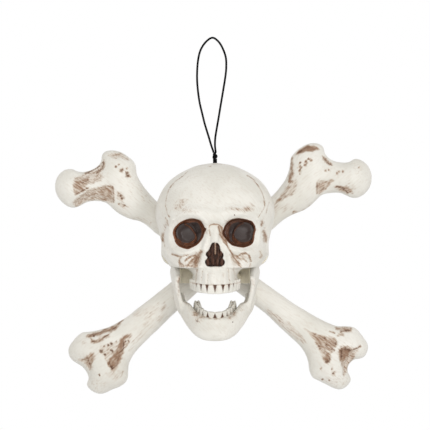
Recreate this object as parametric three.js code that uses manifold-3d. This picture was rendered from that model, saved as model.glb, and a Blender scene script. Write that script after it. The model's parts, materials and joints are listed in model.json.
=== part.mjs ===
// A hollow skull with a hinged lower jaw on two crossed bones, hung by a cord loop.
// Millimetres, +Z up, face towards -Y. The origin is where a hook bears, under the top of the cord loop.
// Left and right are as seen from the front. A drop is a distance below the crown.
import * as THREE from "three";
import { mergeVertices } from "three/addons/utils/BufferGeometryUtils.js";
import Module from "manifold-3d";

const wasm = await Module();
wasm.setup();

// Fits that every piece shares
const gap = 0.3; // between pieces that touch
const overrun = 20; // how far a cut runs past what it cuts
const weld = 1e-4; // distance at which two vertices are one

// Skull shells
const wall = 2.6;
const skullWidth = 134.5; // across the cranium
const faceHeight = 137; // crown to the lower edge of the upper jaw
const faceDepth = 66; // parting plane to the front of the upper jaw
const rearDepth = 24; // parting plane to the flat back
const faceRoundness = 2.3; // exponent of the face's horizontal sections
const rearRoundness = 3; // the same for the rear shell
const faceSteps = 24;
const rearSteps = 14;
const faceFineness = 1.5; // horizontal sections for each row of shares
const rearFineness = 1;
const hollowSteps = 14;
const rimSteps = 48;

// [drop, half width, depth] as shares of faceHeight, skullWidth / 2 and the half's depth
const faceShares = [
  [0.004, 0.1, 0.09],
  [0.02, 0.29, 0.25],
  [0.05, 0.449, 0.4],
  [0.115, 0.682, 0.58],
  [0.197, 0.85, 0.73],
  [0.292, 0.95, 0.845],
  [0.365, 0.995, 0.9],
  [0.42, 1, 0.93],
  [0.47, 0.987, 0.92],
  [0.53, 0.955, 0.88],
  [0.6, 0.925, 0.85],
  [0.668, 0.9, 0.84],
  [0.742, 0.905, 0.85],
  [0.784, 0.855, 0.865],
  [0.829, 0.785, 0.88],
  [0.85, 0.762, 0.885],
  [0.86, 0.7, 0.89],
  [0.866, 0.5, 0.895],
  [0.872, 0.385, 0.9],
  [0.9, 0.355, 0.94],
  [0.945, 0.41, 0.98],
  [0.975, 0.425, 1],
  [1, 0.41, 1],
];
const rearShares = [
  [0.004, 0.1, 0.22],
  [0.02, 0.29, 0.42],
  [0.05, 0.449, 0.58],
  [0.115, 0.682, 0.76],
  [0.197, 0.85, 0.88],
  [0.292, 0.95, 0.96],
  [0.365, 0.995, 1],
  [0.47, 0.987, 1],
  [0.6, 0.925, 1],
  [0.668, 0.9, 1],
  [0.742, 0.905, 1],
  [0.8, 0.87, 1],
  [0.835, 0.8, 0.99],
  [0.858, 0.6, 0.98],
  [0.89, 0.58, 0.97],
  [1, 0.57, 0.95],
];
// Bumps and hollows of the face: [across, drop, spread across, spread down, rise]
// as shares of skullWidth / 2 for the first and third, faceHeight for the others, and faceDepth for the rise
const reliefShares = [
  [0.4, 0.41, 0.27, 0.055, 0.06],
  [0, 0.44, 0.16, 0.06, 0.03],
  [0, 0.51, 0.12, 0.03, -0.03],
  [0, 0.6, 0.11, 0.09, 0.1],
  [0.42, 0.59, 0.26, 0.1, -0.1],
  [0.64, 0.735, 0.2, 0.075, 0.11],
  [0.33, 0.79, 0.12, 0.06, -0.09],
  [0.92, 0.5, 0.14, 0.12, -0.08],
];

// Eye sockets
const socketInner = 9.2; // middle plane to a socket
const socketSide = 15.6; // socket to the side of the skull
const socketHeight = 34.5;
const socketRise = 57.5; // centre above the lower edge of the upper jaw
const socketFloor = 30; // from the parting plane to the cup's flange
const socketRoundness = 2.5;
const socketTilt = 0.12; // radians, the outer corner lower
const socketSteps = 24;
const cupWall = 1.8;
const cupDepth = 13;

// Nose recess
const noseRise = 20; // above the lower edge of the upper jaw
const noseHeight = 28.5;
const noseWidth = 23;
const noseDepth = 14; // below the surface around it
const septumWidth = 2;
const septumInset = 4; // behind the front of the upper jaw
const septumShares = [0.2, 0.86]; // its top and bottom down the recess
// Half outline, [across, down] as shares of noseWidth / 2 and noseHeight
const noseShares = [
  [0.22, 0.02],
  [0.5, 0.17],
  [0.68, 0.42],
  [0.96, 0.66],
  [1, 0.83],
  [0.72, 0.98],
  [0.3, 0.97],
];

// Teeth
const toothCount = 12; // in each jaw
const toothSides = 8;
const toothThickness = 5.4;
const toothNeckShare = 0.72; // neck width to crown width
const toothSpacing = 0.25; // between crowns
const upperToothLength = 14.3;
const upperToothRoot = 4; // sunk into the jaw
const upperArchShares = [0.1, 0.9]; // stretch of the rim that carries teeth
const lowerToothLength = 10;
const lowerToothRoot = 3.5;
const lowerArchShares = [0.26, 0.74];
const upperSideShare = 0.62; // crown height at the back of the row
const lowerSideShare = 0.95;

// Lower jaw, in its closed position, measured from the hinge axis
const hingeRise = 31; // above the lower edge of the upper jaw
const hingeBehind = 7; // behind the parting plane
const hingeOpenAngle = THREE.MathUtils.degToRad(19.4); // how far the photographed mouth is open
const earRadius = 7;
const earThickness = 4;
const ramusThickness = 5.5;
const ramusInset = 9; // side of the skull to the ramus's outer face at the hinge
const ramusFlare = 0.146; // outward lean per millimetre towards the back
const ramusTaper = 0.08; // inward lean per millimetre down
const jawInset = 9.2; // the ramus's outer face to the middle of the jaw's thickness
const jawReach = 69; // hinge to the front of the chin
const jawDrop = 77.2; // hinge to the underside of the chin
const jawThickness = 11.5;
const jawRoundness = 2.6;
const jawSteps = 18;
const jawSides = 10;
const gumShares = [0.55, 0.655]; // top of the jaw below the hinge, at the back and the front, of jawDrop
// Right half of the lower edge, [across, forward, down] as shares of the three sizes above
const jawEdgeShares = [
  [1, 0.02, 0.66],
  [0.985, 0.17, 0.705],
  [0.92, 0.35, 0.765],
  [0.78, 0.575, 0.86],
  [0.62, 0.75, 0.925],
  [0.415, 0.89, 0.975],
  [0.16, 0.985, 0.998],
];
// Side outline of the ramus, [forward, down] as shares of jawReach and jawDrop
const ramusShares = [
  [-0.09, 0.03],
  [-0.085, 0.16],
  [-0.06, 0.36],
  [-0.015, 0.54],
  [0.07, 0.67],
  [0.22, 0.73],
  [0.4, 0.72],
  [0.55, 0.65],
  [0.53, 0.5],
  [0.52, 0.34],
  [0.5, 0.19],
  [0.47, 0.155],
  [0.42, 0.17],
  [0.33, 0.28],
  [0.22, 0.31],
  [0.12, 0.24],
  [0.08, 0.1],
  [0.08, 0.02],
];
const slotClearance = 0.7; // round the ramus where it passes into the skull
const slotReach = 4; // how far the slot runs in front of the parting plane
const slotBelowHinge = 1; // from the hinge axis down to the slot's top

// Screws and bosses
const screwRadius = 1.5;
const screwClearance = 0.2; // round the shank
const threadClearance = 0.1; // round the shank where it bites
const headRadius = 3;
const headHeight = 2;
const recessWidth = 0.9; // of the cross recess
const recessSpanShare = 1.3; // recess length to head radius
const recessDepth = 1.1;
const screwSides = 10;
const bossRadius = 4.7;
const bossSides = 10;
const seatThickness = 3; // material under a screw head
const shellBossReach = 12; // length of the face shell's bosses
const shellScrewBite = 9; // thread in the face shell
const shellBossDrops = [22, 84];
const shellBossInset = 2.4; // boss axis inside the inner wall
const hingeBossRadius = 5;
const hingeScrewBite = 6;
const postReach = 12; // length of the posts inside the rear shell
const postScrewBite = 10;

// Crossed bones. u runs along a bone from the middle of its shaft, v across it, r is a radius
const crossRise = 25.8; // where the bones cross, above the lower edge of the upper jaw
const boneAngles = [36.2, 39.8].map(THREE.MathUtils.degToRad); // to the horizontal
const boneLength = 400;
const boneLeans = [-1, 1]; // -1 rises to the left, 1 to the right
const boneSlides = [0, 3.5]; // from the middle of the shaft to the crossing
const boneFlatness = 0.88; // front-to-back size over height
const boneBed = 0.5; // how far a boss is faced off where it meets the skull
const crossPlay = 0.7; // round the shaft where the bones lap
const boneScrewSpread = 30; // from the crossing to a bone screw
const boneSides = 12;
const hollowSides = 6; // of a bone's hollow
const ballArcs = 3; // steps of a knuckle's round end
const hollowArcs = 1;
// The shaft's [u, r] as shares of boneLength
const shaftShares = [
  [-0.4075, 0.0225],
  [-0.4, 0.0375],
  [-0.375, 0.0462],
  [-0.325, 0.045],
  [-0.275, 0.04],
  [-0.225, 0.037],
  [-0.135, 0.0338],
  [-0.045, 0.0318],
  [0.045, 0.0318],
  [0.135, 0.035],
  [0.23, 0.0382],
  [0.28, 0.044],
  [0.325, 0.05],
  [0.355, 0.0475],
  [0.3675, 0.03],
];
// Each knuckle is a rounded cone from one ball to another: [u, v, r, u, v, r] as shares of boneLength
const knuckleShares = {
  neck: [0.3375, -0.005, 0.045, 0.43, -0.06, 0.0338],
  head: [0.4437, -0.0737, 0.0517, 0.4475, -0.075, 0.0515],
  trochanter: [0.345, 0.015, 0.0488, 0.3775, 0.04, 0.054],
  saddle: [0.365, 0.005, 0.045, 0.3975, -0.015, 0.0425],
  flare: [-0.345, -0.0025, 0.0462, -0.4175, -0.01, 0.06],
  innerCondyle: [-0.4, 0.0225, 0.0488, -0.455, 0.0338, 0.048],
  outerCondyle: [-0.425, -0.06, 0.0425, -0.4725, -0.0587, 0.0387],
};

// Hanging cord
const cordRadius = 1;
const cordSides = 8;
const cordBehind = 6; // behind the parting plane
const cordSteps = 46;
// Route of the loop, [across, above the crown]
const loopRoute = [
  [0.8, 12.6],
  [0, 19.5],
  [0.3, 28.3],
  [2, 39.3],
  [4.1, 51.4],
  [6.1, 63.5],
  [9, 80.7],
  [11.6, 96.8],
  [12.7, 107.9],
  [12.1, 120],
  [8, 131.1],
  [3.1, 138.2],
  [-3.1, 141.7],
  [-10.1, 137.2],
  [-16.2, 128.1],
  [-19.2, 115.9],
  [-20.3, 99.9],
  [-19.7, 85.8],
  [-17.6, 69.6],
  [-14.6, 56.5],
  [-11.6, 44.3],
  [-7.6, 31.2],
  [-4.3, 20.1],
  [-1.7, 12.6],
];
const knotRadius = 3.1;
const knotHeight = 8.1;
// Outline of a knot, [radius, height] as shares of its radius and height, with a waist between its turns
const knotShares = [
  [0.5, 0],
  [1, 0.14],
  [1, 0.24],
  [0.72, 0.36],
  [1, 0.48],
  [1, 0.6],
  [0.72, 0.7],
  [1, 0.82],
  [0.9, 0.92],
  [0.5, 1],
];
const cordHoleRadius = 2.6;
const stopperRadius = 4.2;
const stopperHeight = 7;
const stopperSeat = 3.6; // from the crown's underside down to the stopper, where the shell curves

// Materials
const bonePlastic = new THREE.MeshStandardMaterial({ color: 0xe6e3da, roughness: 0.5, metalness: 0 });
const socketPlastic = new THREE.MeshStandardMaterial({ color: 0x3a2e2b, roughness: 0.25, metalness: 0 });
const waxedCord = new THREE.MeshStandardMaterial({ color: 0x1a1a1a, roughness: 0.7, metalness: 0 });
const zincSteel = new THREE.MeshStandardMaterial({ color: 0xb6b8ba, roughness: 0.35, metalness: 0.9 });

// Solids from closed geometry, and back
function solid(geometry) {
  geometry.deleteAttribute("normal");
  geometry.deleteAttribute("uv");
  const merged = mergeVertices(geometry, weld);
  const corners = merged.index.array;
  const kept = [];
  for (let i = 0; i < corners.length; i += 3) {
    const [a, b, c] = corners.subarray(i, i + 3);
    if (a !== b && b !== c && c !== a) kept.push(a, b, c);
  }
  const vertProperties = merged.attributes.position.array;
  return new wasm.Manifold(new wasm.Mesh({ numProp: 3, vertProperties, triVerts: new Uint32Array(kept) }));
}

function mesh(name, shape, material) {
  const { vertProperties, triVerts } = shape.getMesh();
  const geometry = new THREE.BufferGeometry()
    .setAttribute("position", new THREE.BufferAttribute(vertProperties, 3))
    .setIndex(new THREE.BufferAttribute(triVerts, 1))
    .toNonIndexed();
  geometry.computeVertexNormals();
  const made = new THREE.Mesh(geometry, material);
  made.name = name;
  return made;
}

const join = (...shapes) => shapes.reduce((all, shape) => all.add(shape));

// Building blocks
function block(low, high) {
  const size = high.map((value, axis) => value - low[axis]);
  const middle = high.map((value, axis) => (value + low[axis]) / 2);
  return solid(new THREE.BoxGeometry(...size).translate(...middle));
}

function rod(from, to, radius, sides, endRadius = radius) {
  const start = new THREE.Vector3(...from);
  const along = new THREE.Vector3(...to).sub(start);
  const length = along.length();
  const turn = new THREE.Quaternion().setFromUnitVectors(new THREE.Vector3(0, 1, 0), along.normalize());
  const geometry = new THREE.CylinderGeometry(endRadius, radius, length, sides)
    .translate(0, length / 2, 0)
    .applyQuaternion(turn)
    .translate(...from);
  return solid(geometry);
}

// A rod along the front-to-back axis
const post = (x, z, front, rear, radius) => rod([x, front, z], [x, rear, z], radius, bossSides);

function ball(radii, centre, sides = boneSides) {
  const geometry = new THREE.SphereGeometry(1, sides, sides / 2).scale(...radii).translate(...centre);
  return solid(geometry);
}

// A flat outline in the XZ plane, carried from its front to its rear
function slab(outline, front, rear) {
  const geometry = new THREE.ExtrudeGeometry(outline, { depth: rear - front, bevelEnabled: false, steps: 1 });
  return solid(geometry.rotateX(Math.PI / 2).translate(0, rear, 0));
}

// Joins rings of equal length into one closed solid
function loft(rings) {
  const count = rings[0].length;
  const points = rings.flat();
  const faces = [];
  for (let ring = 0; ring + 1 < rings.length; ring++)
    for (let i = 0; i < count; i++) {
      const here = ring * count + i;
      const next = ring * count + ((i + 1) % count);
      faces.push(here, next, next + count, here, next + count, here + count);
    }
  const last = points.length - count;
  const ends = [
    [0, rings[0]],
    [last, rings.at(-1)],
  ];
  for (const [first, ring] of ends) {
    const centre = points.length;
    points.push(ring.reduce((sum, point) => sum.add(point), new THREE.Vector3()).divideScalar(count));
    for (let i = 0; i < count; i++) {
      const here = first + i;
      const next = first + ((i + 1) % count);
      if (first === 0) faces.push(centre, next, here);
      else faces.push(centre, here, next);
    }
  }
  const geometry = new THREE.BufferGeometry().setFromPoints(points).setIndex(faces);
  return solid(geometry);
}

const power = (value, exponent) => Math.sign(value) * Math.abs(value) ** exponent;

// Skull halves
function profile(shares, depth) {
  const rows = shares.map(
    ([drop, width, out]) => new THREE.Vector3(drop * faceHeight, (width * skullWidth) / 2, out * depth),
  );
  return new THREE.CatmullRomCurve3(rows, false, "centripetal");
}

const faceProfile = profile(faceShares, faceDepth);
const rearProfile = profile(rearShares, rearDepth);

function relief(across, drop) {
  let rise = 0;
  for (const [x, z, spreadX, spreadZ, height] of reliefShares) {
    const dx = (Math.abs(across) / (skullWidth / 2) - x) / spreadX;
    const dz = (drop / faceHeight - z) / spreadZ;
    rise += height * faceDepth * Math.exp(-dx * dx - dz * dz);
  }
  return rise;
}

// The level at a share of a profile, moved inwards square to the profile
function level(curve, share, inset) {
  const { x: drop, y: width, z: depth } = curve.getPoint(share);
  const { x: down, y: wider, z: deeper } = curve.getTangent(share);
  const sideSlope = Math.hypot(down, wider);
  const frontSlope = Math.hypot(down, deeper);
  return {
    drop: drop + (inset * wider) / sideSlope,
    width: width - (inset * down) / sideSlope,
    depth: depth - (inset * down) / frontSlope,
  };
}

const halves = {
  face: {
    curve: faceProfile,
    side: -1,
    steps: faceSteps,
    fineness: faceFineness,
    roundness: faceRoundness,
    raised: relief,
  },
  rear: {
    curve: rearProfile,
    side: 1,
    steps: rearSteps,
    fineness: rearFineness,
    roundness: rearRoundness,
    raised: () => 0,
  },
};

// One horizontal section from one side of the head to the other
function halfArc(half, { drop, width, depth }, flat, steps) {
  const arc = [];
  for (let i = 0; i <= steps; i++) {
    const turn = (Math.PI * i) / steps;
    const across = width * power(Math.cos(turn), 2 / half.roundness);
    const front = power(Math.sin(turn), 2 / half.roundness);
    const out = (depth + half.raised(across, drop)) * front;
    arc.push(new THREE.Vector3(across, half.side * (flat + out), -drop));
  }
  return arc;
}

// The solid half, flat on the parting plane, or its hollow, which runs past that plane and the open base
function halfBody(half, inset) {
  const hollow = inset > 0;
  const levels = Math.round((hollow ? 1 : half.fineness) * (half.curve.points.length - 1));
  const rows = [];
  for (let i = 0; i <= levels; i++) rows.push(level(half.curve, i / levels, inset));
  if (hollow) rows.push({ ...rows.at(-1), drop: rows.at(-1).drop + overrun });
  const rings = rows.map((row) => {
    const arc = halfArc(half, row, gap / 2, hollow ? hollowSteps : half.steps);
    if (hollow) {
      const past = -half.side * overrun;
      arc.unshift(new THREE.Vector3(row.width, past, -row.drop));
      arc.push(new THREE.Vector3(-row.width, past, -row.drop));
    }
    return half.side < 0 ? arc : arc.reverse();
  });
  return loft(rings);
}

const faceOuter = halfBody(halves.face, 0);
const rearOuter = halfBody(halves.rear, 0);
const faceHollow = halfBody(halves.face, wall);
const rearHollow = halfBody(halves.rear, wall);
// Bodies that end bosses and collars inside the wall
const faceCore = halfBody(halves.face, wall / 2);
const rearCore = halfBody(halves.rear, wall / 2);

// Half width of the shells' parting edge at a drop
function partingWidth(drop) {
  const points = faceProfile.getPoints(rimSteps * 2);
  const below = points.findIndex((point) => point.x >= drop);
  const [a, b] = [points[below - 1], points[below]];
  return a.y + ((b.y - a.y) * (drop - a.x)) / (b.x - a.x);
}

const threadRadius = screwRadius + threadClearance;
const shellSeat = gap / 2 + seatThickness;
const sides = [-1, 1];

// Places that follow the shells' outline
const socketDrop = faceHeight - socketRise;
const socketOuter = partingWidth(socketDrop) - socketSide;
const socketWidth = socketOuter - socketInner;
const socketMiddle = (socketOuter + socketInner) / 2;
const noseTopDrop = faceHeight - noseRise - noseHeight;
const hingeDrop = faceHeight - hingeRise;
const ramusOuter = partingWidth(hingeDrop) - ramusInset;
const earInner = ramusOuter - ramusThickness;
const jawHalfWidth = ramusOuter - jawInset;
const crossDrop = faceHeight - crossRise;

// Places of the screws that close the skull
const shellBosses = shellBossDrops.flatMap((drop) => {
  const x = partingWidth(drop) - wall - shellBossInset;
  return [
    [-x, -drop],
    [x, -drop],
  ];
});

// Outlines of the openings
function socketOutline(side, grow) {
  const outline = new THREE.Shape();
  for (let i = 0; i < socketSteps; i++) {
    const turn = (2 * Math.PI * i) / socketSteps;
    const x = (socketWidth / 2 + grow) * power(Math.cos(turn), 2 / socketRoundness);
    const z = (socketHeight / 2 + grow) * power(Math.sin(turn), 2 / socketRoundness);
    const tilt = -side * socketTilt;
    const across = side * socketMiddle + x * Math.cos(tilt) - z * Math.sin(tilt);
    const up = -socketDrop + x * Math.sin(tilt) + z * Math.cos(tilt);
    if (i === 0) outline.moveTo(across, up);
    else outline.lineTo(across, up);
  }
  return outline;
}

function noseOutline(grow) {
  const right = noseShares.map(([x, z]) => {
    const across = (x * noseWidth) / 2 + grow;
    const fromMiddle = (0.5 - z) * noseHeight;
    return [across, -noseTopDrop - noseHeight / 2 + fromMiddle + Math.sign(fromMiddle) * grow];
  });
  const left = right.map(([x, z]) => [-x, z]).reverse();
  return new THREE.Shape([...right, ...left].map(([x, z]) => new THREE.Vector2(x, z)));
}

// One tooth, its crown's end at the tip, facing along a horizontal direction
function tooth(tip, height, width, facing) {
  const down = Math.sign(height);
  const geometry = new THREE.CylinderGeometry(0.5 * toothNeckShare, 0.5, 1, toothSides)
    .rotateY(Math.PI / toothSides)
    .translate(0, 0.5, 0)
    .scale(width, Math.abs(height), toothThickness)
    .rotateX(down > 0 ? Math.PI / 2 : -Math.PI / 2)
    .rotateZ(Math.atan2(facing.y, facing.x))
    .translate(...tip);
  return solid(geometry);
}

// A row of teeth along a stretch of a curve. Positive lengths hang down, negative ones stand up
function toothRow(curve, [from, to], length, root, sideShare) {
  const stretch = ((to - from) * curve.getLength()) / toothCount;
  const teeth = [];
  for (let i = 0; i < toothCount; i++) {
    const share = from + ((to - from) * (i + 0.5)) / toothCount;
    const place = curve.getPointAt(share);
    const along = curve.getTangentAt(share);
    const sideness = Math.abs((2 * i + 1) / toothCount - 1);
    const shown = Math.abs(length) - root;
    const crown = shown * (1 - (1 - sideShare) * sideness * sideness);
    const sign = Math.sign(length);
    const tip = [place.x, place.y, place.z - sign * crown];
    teeth.push(tooth(tip, sign * (crown + root), stretch - toothSpacing, along));
  }
  return teeth;
}

// Face shell
function faceShell() {
  const socketFront = -faceDepth - overrun;
  const pocketRear = -faceDepth + noseDepth;
  const inserts = [
    ...sides.map((side) => slab(socketOutline(side, wall), socketFront, -socketFloor)),
    slab(noseOutline(wall), socketFront, pocketRear + wall),
    ...shellBosses.map(([x, z]) => post(x, z, -shellBossReach, -gap / 2, bossRadius)),
  ];
  const shell = join(faceOuter.subtract(faceHollow), faceCore.intersect(join(...inserts)));
  const slots = sides.map((side) => ramusSlot(side, -slotReach, overrun));
  const cuts = [
    ...sides.map((side) => slab(socketOutline(side, 0), socketFront, -socketFloor + gap)),
    slab(noseOutline(0), socketFront, pocketRear),
    ...shellBosses.map(([x, z]) => post(x, z, -shellScrewBite - gap, overrun, threadRadius)),
    ...slots,
  ];
  const [septumTop, septumBottom] = septumShares.map((share) => -noseTopDrop - share * noseHeight);
  const septum = block(
    [-septumWidth / 2, septumInset - faceDepth, septumBottom],
    [septumWidth / 2, pocketRear + wall / 2, septumTop],
  );
  const teeth = toothRow(upperRim(), upperArchShares, upperToothLength, upperToothRoot, upperSideShare);
  return join(shell.subtract(join(...cuts)), septum, ...teeth);
}

// The line along the lower edge of the upper jaw that carries its teeth
function upperRim() {
  const base = level(faceProfile, 1, wall / 2);
  return new THREE.CatmullRomCurve3(halfArc(halves.face, base, gap / 2, rimSteps));
}

// The space in which a ramus passes up into the skull
function ramusSlot(side, front, rear) {
  const inner = earInner - ramusThickness / 2;
  const outer = ramusOuter - ramusShares[0][0] * jawReach * ramusFlare + slotClearance;
  const [low, high] = [side * inner, side * outer].sort((a, b) => a - b);
  return block([low, front, -faceHeight], [high, rear, -hingeDrop - slotBelowHinge]);
}

// How far back the open ramus reaches at the slot's top: its rear edge turned about the hinge
function ramusRear() {
  const [forward, down] = ramusShares[1];
  const [y, z] = [-forward * jawReach, down * jawDrop];
  return hingeBehind + y * Math.cos(hingeOpenAngle) + z * Math.sin(hingeOpenAngle);
}

// Eye cups
function eyeCup(side) {
  const front = -socketFloor + gap;
  const rear = front + cupWall;
  const centre = [side * socketMiddle, rear, -socketDrop];
  const bowl = [socketWidth / 2, cupDepth, socketHeight / 2];
  const hollow = bowl.map((radius) => radius - cupWall);
  const flange = slab(socketOutline(side, wall), front, rear);
  const inside = ball(hollow, [centre[0], front, centre[2]]);
  const behind = block(
    [centre[0] - socketWidth, (front + rear) / 2, centre[2] - socketHeight],
    [centre[0] + socketWidth, overrun, centre[2] + socketHeight],
  );
  return join(flange, ball(bowl, centre).intersect(behind)).subtract(inside);
}

// Rear shell
function rearShell() {
  const hingeX = earInner + earThickness + gap;
  const hinge = (side, from, to, radius) =>
    rod([side * from, hingeBehind, -hingeDrop], [side * to, hingeBehind, -hingeDrop], radius, bossSides);
  const hinges = sides.map((side) => hinge(side, hingeX, skullWidth / 2, hingeBossRadius));
  const posts = bonePosts.map(({ x, z, seat }) => post(x, z, rearDepth - postReach, seat - gap, bossRadius));
  const bosses = shellBosses.map(([x, z]) => post(x, z, gap / 2, rearDepth, bossRadius));
  const inserts = rearCore.intersect(join(...hinges, ...bosses));
  const shell = join(rearOuter.subtract(rearHollow), inserts, ...posts);
  const bite = postScrewBite + 2 * gap;
  const cuts = [
    ...shellBosses.map(([x, z]) => post(x, z, -overrun, rearDepth, screwRadius + screwClearance)),
    ...shellBosses.map(([x, z]) => post(x, z, shellSeat, rearDepth + overrun, headRadius + gap)),
    ...bonePosts.map(({ x, z, seat }) => post(x, z, seat - bite, seat + overrun, threadRadius)),
    ...sides.map((side) => ramusSlot(side, -overrun, ramusRear() + gap)),
    ...sides.map((side) => hinge(side, earInner, hingeX + hingeScrewBite, threadRadius)),
    rod([0, cordBehind, -wall - overrun], [0, cordBehind, overrun], cordHoleRadius, bossSides),
  ];
  return shell.subtract(join(...cuts));
}

// Crossed bones
const crossHalfWidth = shaftRadius(0) + crossPlay;
const boneRadiusAtScrew = shaftRadius(boneScrewSpread);
const firstAxis = rearDepth + gap + boneRadiusAtScrew * boneFlatness - boneBed;
const boneAxes = [firstAxis, firstAxis + 2 * (wall + gap)];

// Radius of the shaft at a distance from its middle
function shaftRadius(u) {
  const share = u / boneLength;
  const next = shaftShares.findIndex(([station]) => station > share);
  const [[u0, r0], [u1, r1]] = [shaftShares[next - 1], shaftShares[next]];
  return boneLength * (r0 + ((r1 - r0) * (share - u0)) / (u1 - u0));
}

const bonePosts = boneAxes.flatMap((axis, bone) =>
  [-1, 1].map((end) => {
    const along = end * boneScrewSpread;
    return {
      bone,
      x: boneLeans[bone] * along * Math.cos(boneAngles[bone]),
      z: -crossDrop + along * Math.sin(boneAngles[bone]),
      seat: axis - boneRadiusAtScrew * boneFlatness + boneBed,
    };
  }),
);

// A rounded cone from one ball to another, lying in the plane of the bone
function knuckle(shares, inset) {
  const [u0, v0, r0, u1, v1, r1] = shares.map((share) => share * boneLength);
  const length = Math.hypot(u1 - u0, v1 - v0);
  const lean = Math.asin((r0 - r1) / length);
  const arcs = inset > 0 ? hollowArcs : ballArcs;
  const outline = [];
  for (let i = 0; i <= arcs; i++) {
    const turn = -Math.PI / 2 + ((lean + Math.PI / 2) * i) / arcs;
    outline.push([(r0 - inset) * Math.cos(turn), (r0 - inset) * Math.sin(turn)]);
  }
  for (let i = 0; i <= arcs; i++) {
    const turn = lean + ((Math.PI / 2 - lean) * i) / arcs;
    outline.push([(r1 - inset) * Math.cos(turn), length + (r1 - inset) * Math.sin(turn)]);
  }
  return turned(outline, inset)
    .rotateZ(Math.atan2(v1 - v0, u1 - u0) - Math.PI / 2)
    .translate(u0, v0, 0);
}

// A body turned about the Y axis from its [radius, height] outline, closed on the axis
function turned(outline, inset) {
  const points = outline.map(([radius, height]) => new THREE.Vector2(Math.max(radius, 0), height));
  points[0].x = 0;
  points.at(-1).x = 0;
  return new THREE.LatheGeometry(points, inset > 0 ? hollowSides : boneSides);
}

function shaft(inset) {
  const outline = shaftShares.map(([u, r]) => [r * boneLength - inset, u * boneLength]);
  const [first, last] = [outline[0], outline.at(-1)];
  outline.unshift([0, first[1] + inset]);
  outline.push([0, last[1] - inset]);
  return turned(outline, inset).rotateZ(-Math.PI / 2);
}

// The whole bone in its place, or its hollow
function boneBody(bone, inset) {
  const side = boneLeans[bone];
  const parts = [shaft(inset), ...Object.values(knuckleShares).map((shares) => knuckle(shares, inset))];
  const placed = parts.map((geometry) => {
    geometry.rotateX(Math.PI / 2).scale(1, boneFlatness, 1).translate(boneSlides[bone], 0, 0);
    geometry.rotateY(-boneAngles[bone]);
    if (side < 0) geometry.rotateZ(Math.PI);
    return solid(geometry.translate(0, boneAxes[bone], -crossDrop));
  });
  return join(...placed);
}

// The band that the other bone takes up at the crossing
function crossBand(bone, grow, front, rear) {
  const half = crossHalfWidth + grow;
  const length = 4 * crossHalfWidth + 2 * grow;
  const geometry = new THREE.BoxGeometry(length, rear - front, 2 * half)
    .rotateY(-boneLeans[bone] * boneAngles[bone])
    .translate(0, (front + rear) / 2, -crossDrop);
  return solid(geometry);
}

// Both half shells of a bone. The first is notched behind and the second in front, so that they lap
function boneShells(bone) {
  const axis = boneAxes[bone];
  const outer = boneBody(bone, 0).subtract(rearOuter);
  const reach = skullWidth * 2;
  const half = (front, rear) => block([-reach, front, -reach - crossDrop], [reach, rear, reach - crossDrop]);
  const frontHalf = half(axis - overrun * 2, axis - gap / 2);
  const rearHalf = half(axis + gap / 2, axis + overrun * 2);
  const other = 1 - bone;
  const lap = axis + (bone === 0 ? 1 : -1) * (gap / 2 + wall);
  const bandEnds = bone === 0 ? [lap, axis + overrun * 2] : [axis - overrun * 2, lap];
  const wallEnds = bone === 0 ? [axis, bandEnds[1]] : [bandEnds[0], axis];
  const notch = crossBand(other, gap, ...bandEnds);
  const hollow = boneBody(bone, wall).subtract(crossBand(other, gap + wall, ...wallEnds));
  const skin = outer.subtract(hollow);
  const places = bonePosts.filter((place) => place.bone === bone);
  const through = (radius) => places.map(({ x, z }) => post(x, z, axis - overrun, axis + overrun, radius));
  const bosses = boneBody(bone, wall / 2).intersect(join(...through(bossRadius)));
  const seats = places.map(({ x, z, seat }) => post(x, z, seat - overrun, seat, bossRadius + gap));
  const sinks = places.map(({ x, z }) => post(x, z, boneScrewSeat(bone), axis + overrun, headRadius + gap));
  const cuts = [notch, ...through(screwRadius + screwClearance), ...seats, ...sinks];
  const whole = join(skin, bosses).subtract(join(...cuts));
  return [whole.intersect(frontHalf), whole.intersect(rearHalf)];
}

function boneScrewSeat(bone) {
  return boneAxes[bone] + gap / 2 + seatThickness;
}

// Lower jaw
function jawCurve() {
  const right = jawEdgeShares.map(
    ([x, y, z]) => new THREE.Vector3(x * jawHalfWidth, -y * jawReach, -z * jawDrop),
  );
  const left = right.map(({ x, y, z }) => new THREE.Vector3(-x, y, z)).reverse();
  return new THREE.CatmullRomCurve3([...right, ...left], false, "centripetal");
}

function gumHeight(place) {
  const [back, front] = gumShares;
  return -jawDrop * (back + ((front - back) * -place.y) / jawReach);
}

function jawBody(edge) {
  const rings = [];
  for (let i = 0; i <= jawSteps; i++) {
    const place = edge.getPointAt(i / jawSteps);
    const along = edge.getTangentAt(i / jawSteps).setZ(0).normalize();
    const outward = new THREE.Vector3(-along.y, along.x, 0);
    const top = gumHeight(place);
    const ring = [];
    for (let k = 0; k < jawSides; k++) {
      const turn = (2 * Math.PI * k) / jawSides;
      const across = (jawThickness / 2) * power(Math.cos(turn), 2 / jawRoundness);
      const up = ((top - place.z) / 2) * power(Math.sin(turn), 2 / jawRoundness);
      const middle = new THREE.Vector3(place.x, place.y, (top + place.z) / 2 + up);
      ring.push(middle.addScaledVector(outward, across));
    }
    rings.push(ring);
  }
  return loft(rings);
}

function ramus(side) {
  const points = ramusShares.map(([y, z]) => new THREE.Vector2(-y * jawReach, -z * jawDrop));
  const geometry = new THREE.ExtrudeGeometry(new THREE.Shape(points), {
    depth: ramusThickness,
    bevelEnabled: false,
    steps: 1,
  });
  const lean = new THREE.Matrix4().makeShear(0, 0, ramusFlare, 0, ramusTaper, 0);
  const turn = new THREE.Matrix4().makeBasis(
    new THREE.Vector3(0, 1, 0),
    new THREE.Vector3(0, 0, 1),
    new THREE.Vector3(1, 0, 0),
  );
  geometry.applyMatrix4(turn).translate(ramusOuter - ramusThickness, 0, 0).applyMatrix4(lean);
  const right = solid(geometry);
  return side > 0 ? right : right.mirror([1, 0, 0]);
}

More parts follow.
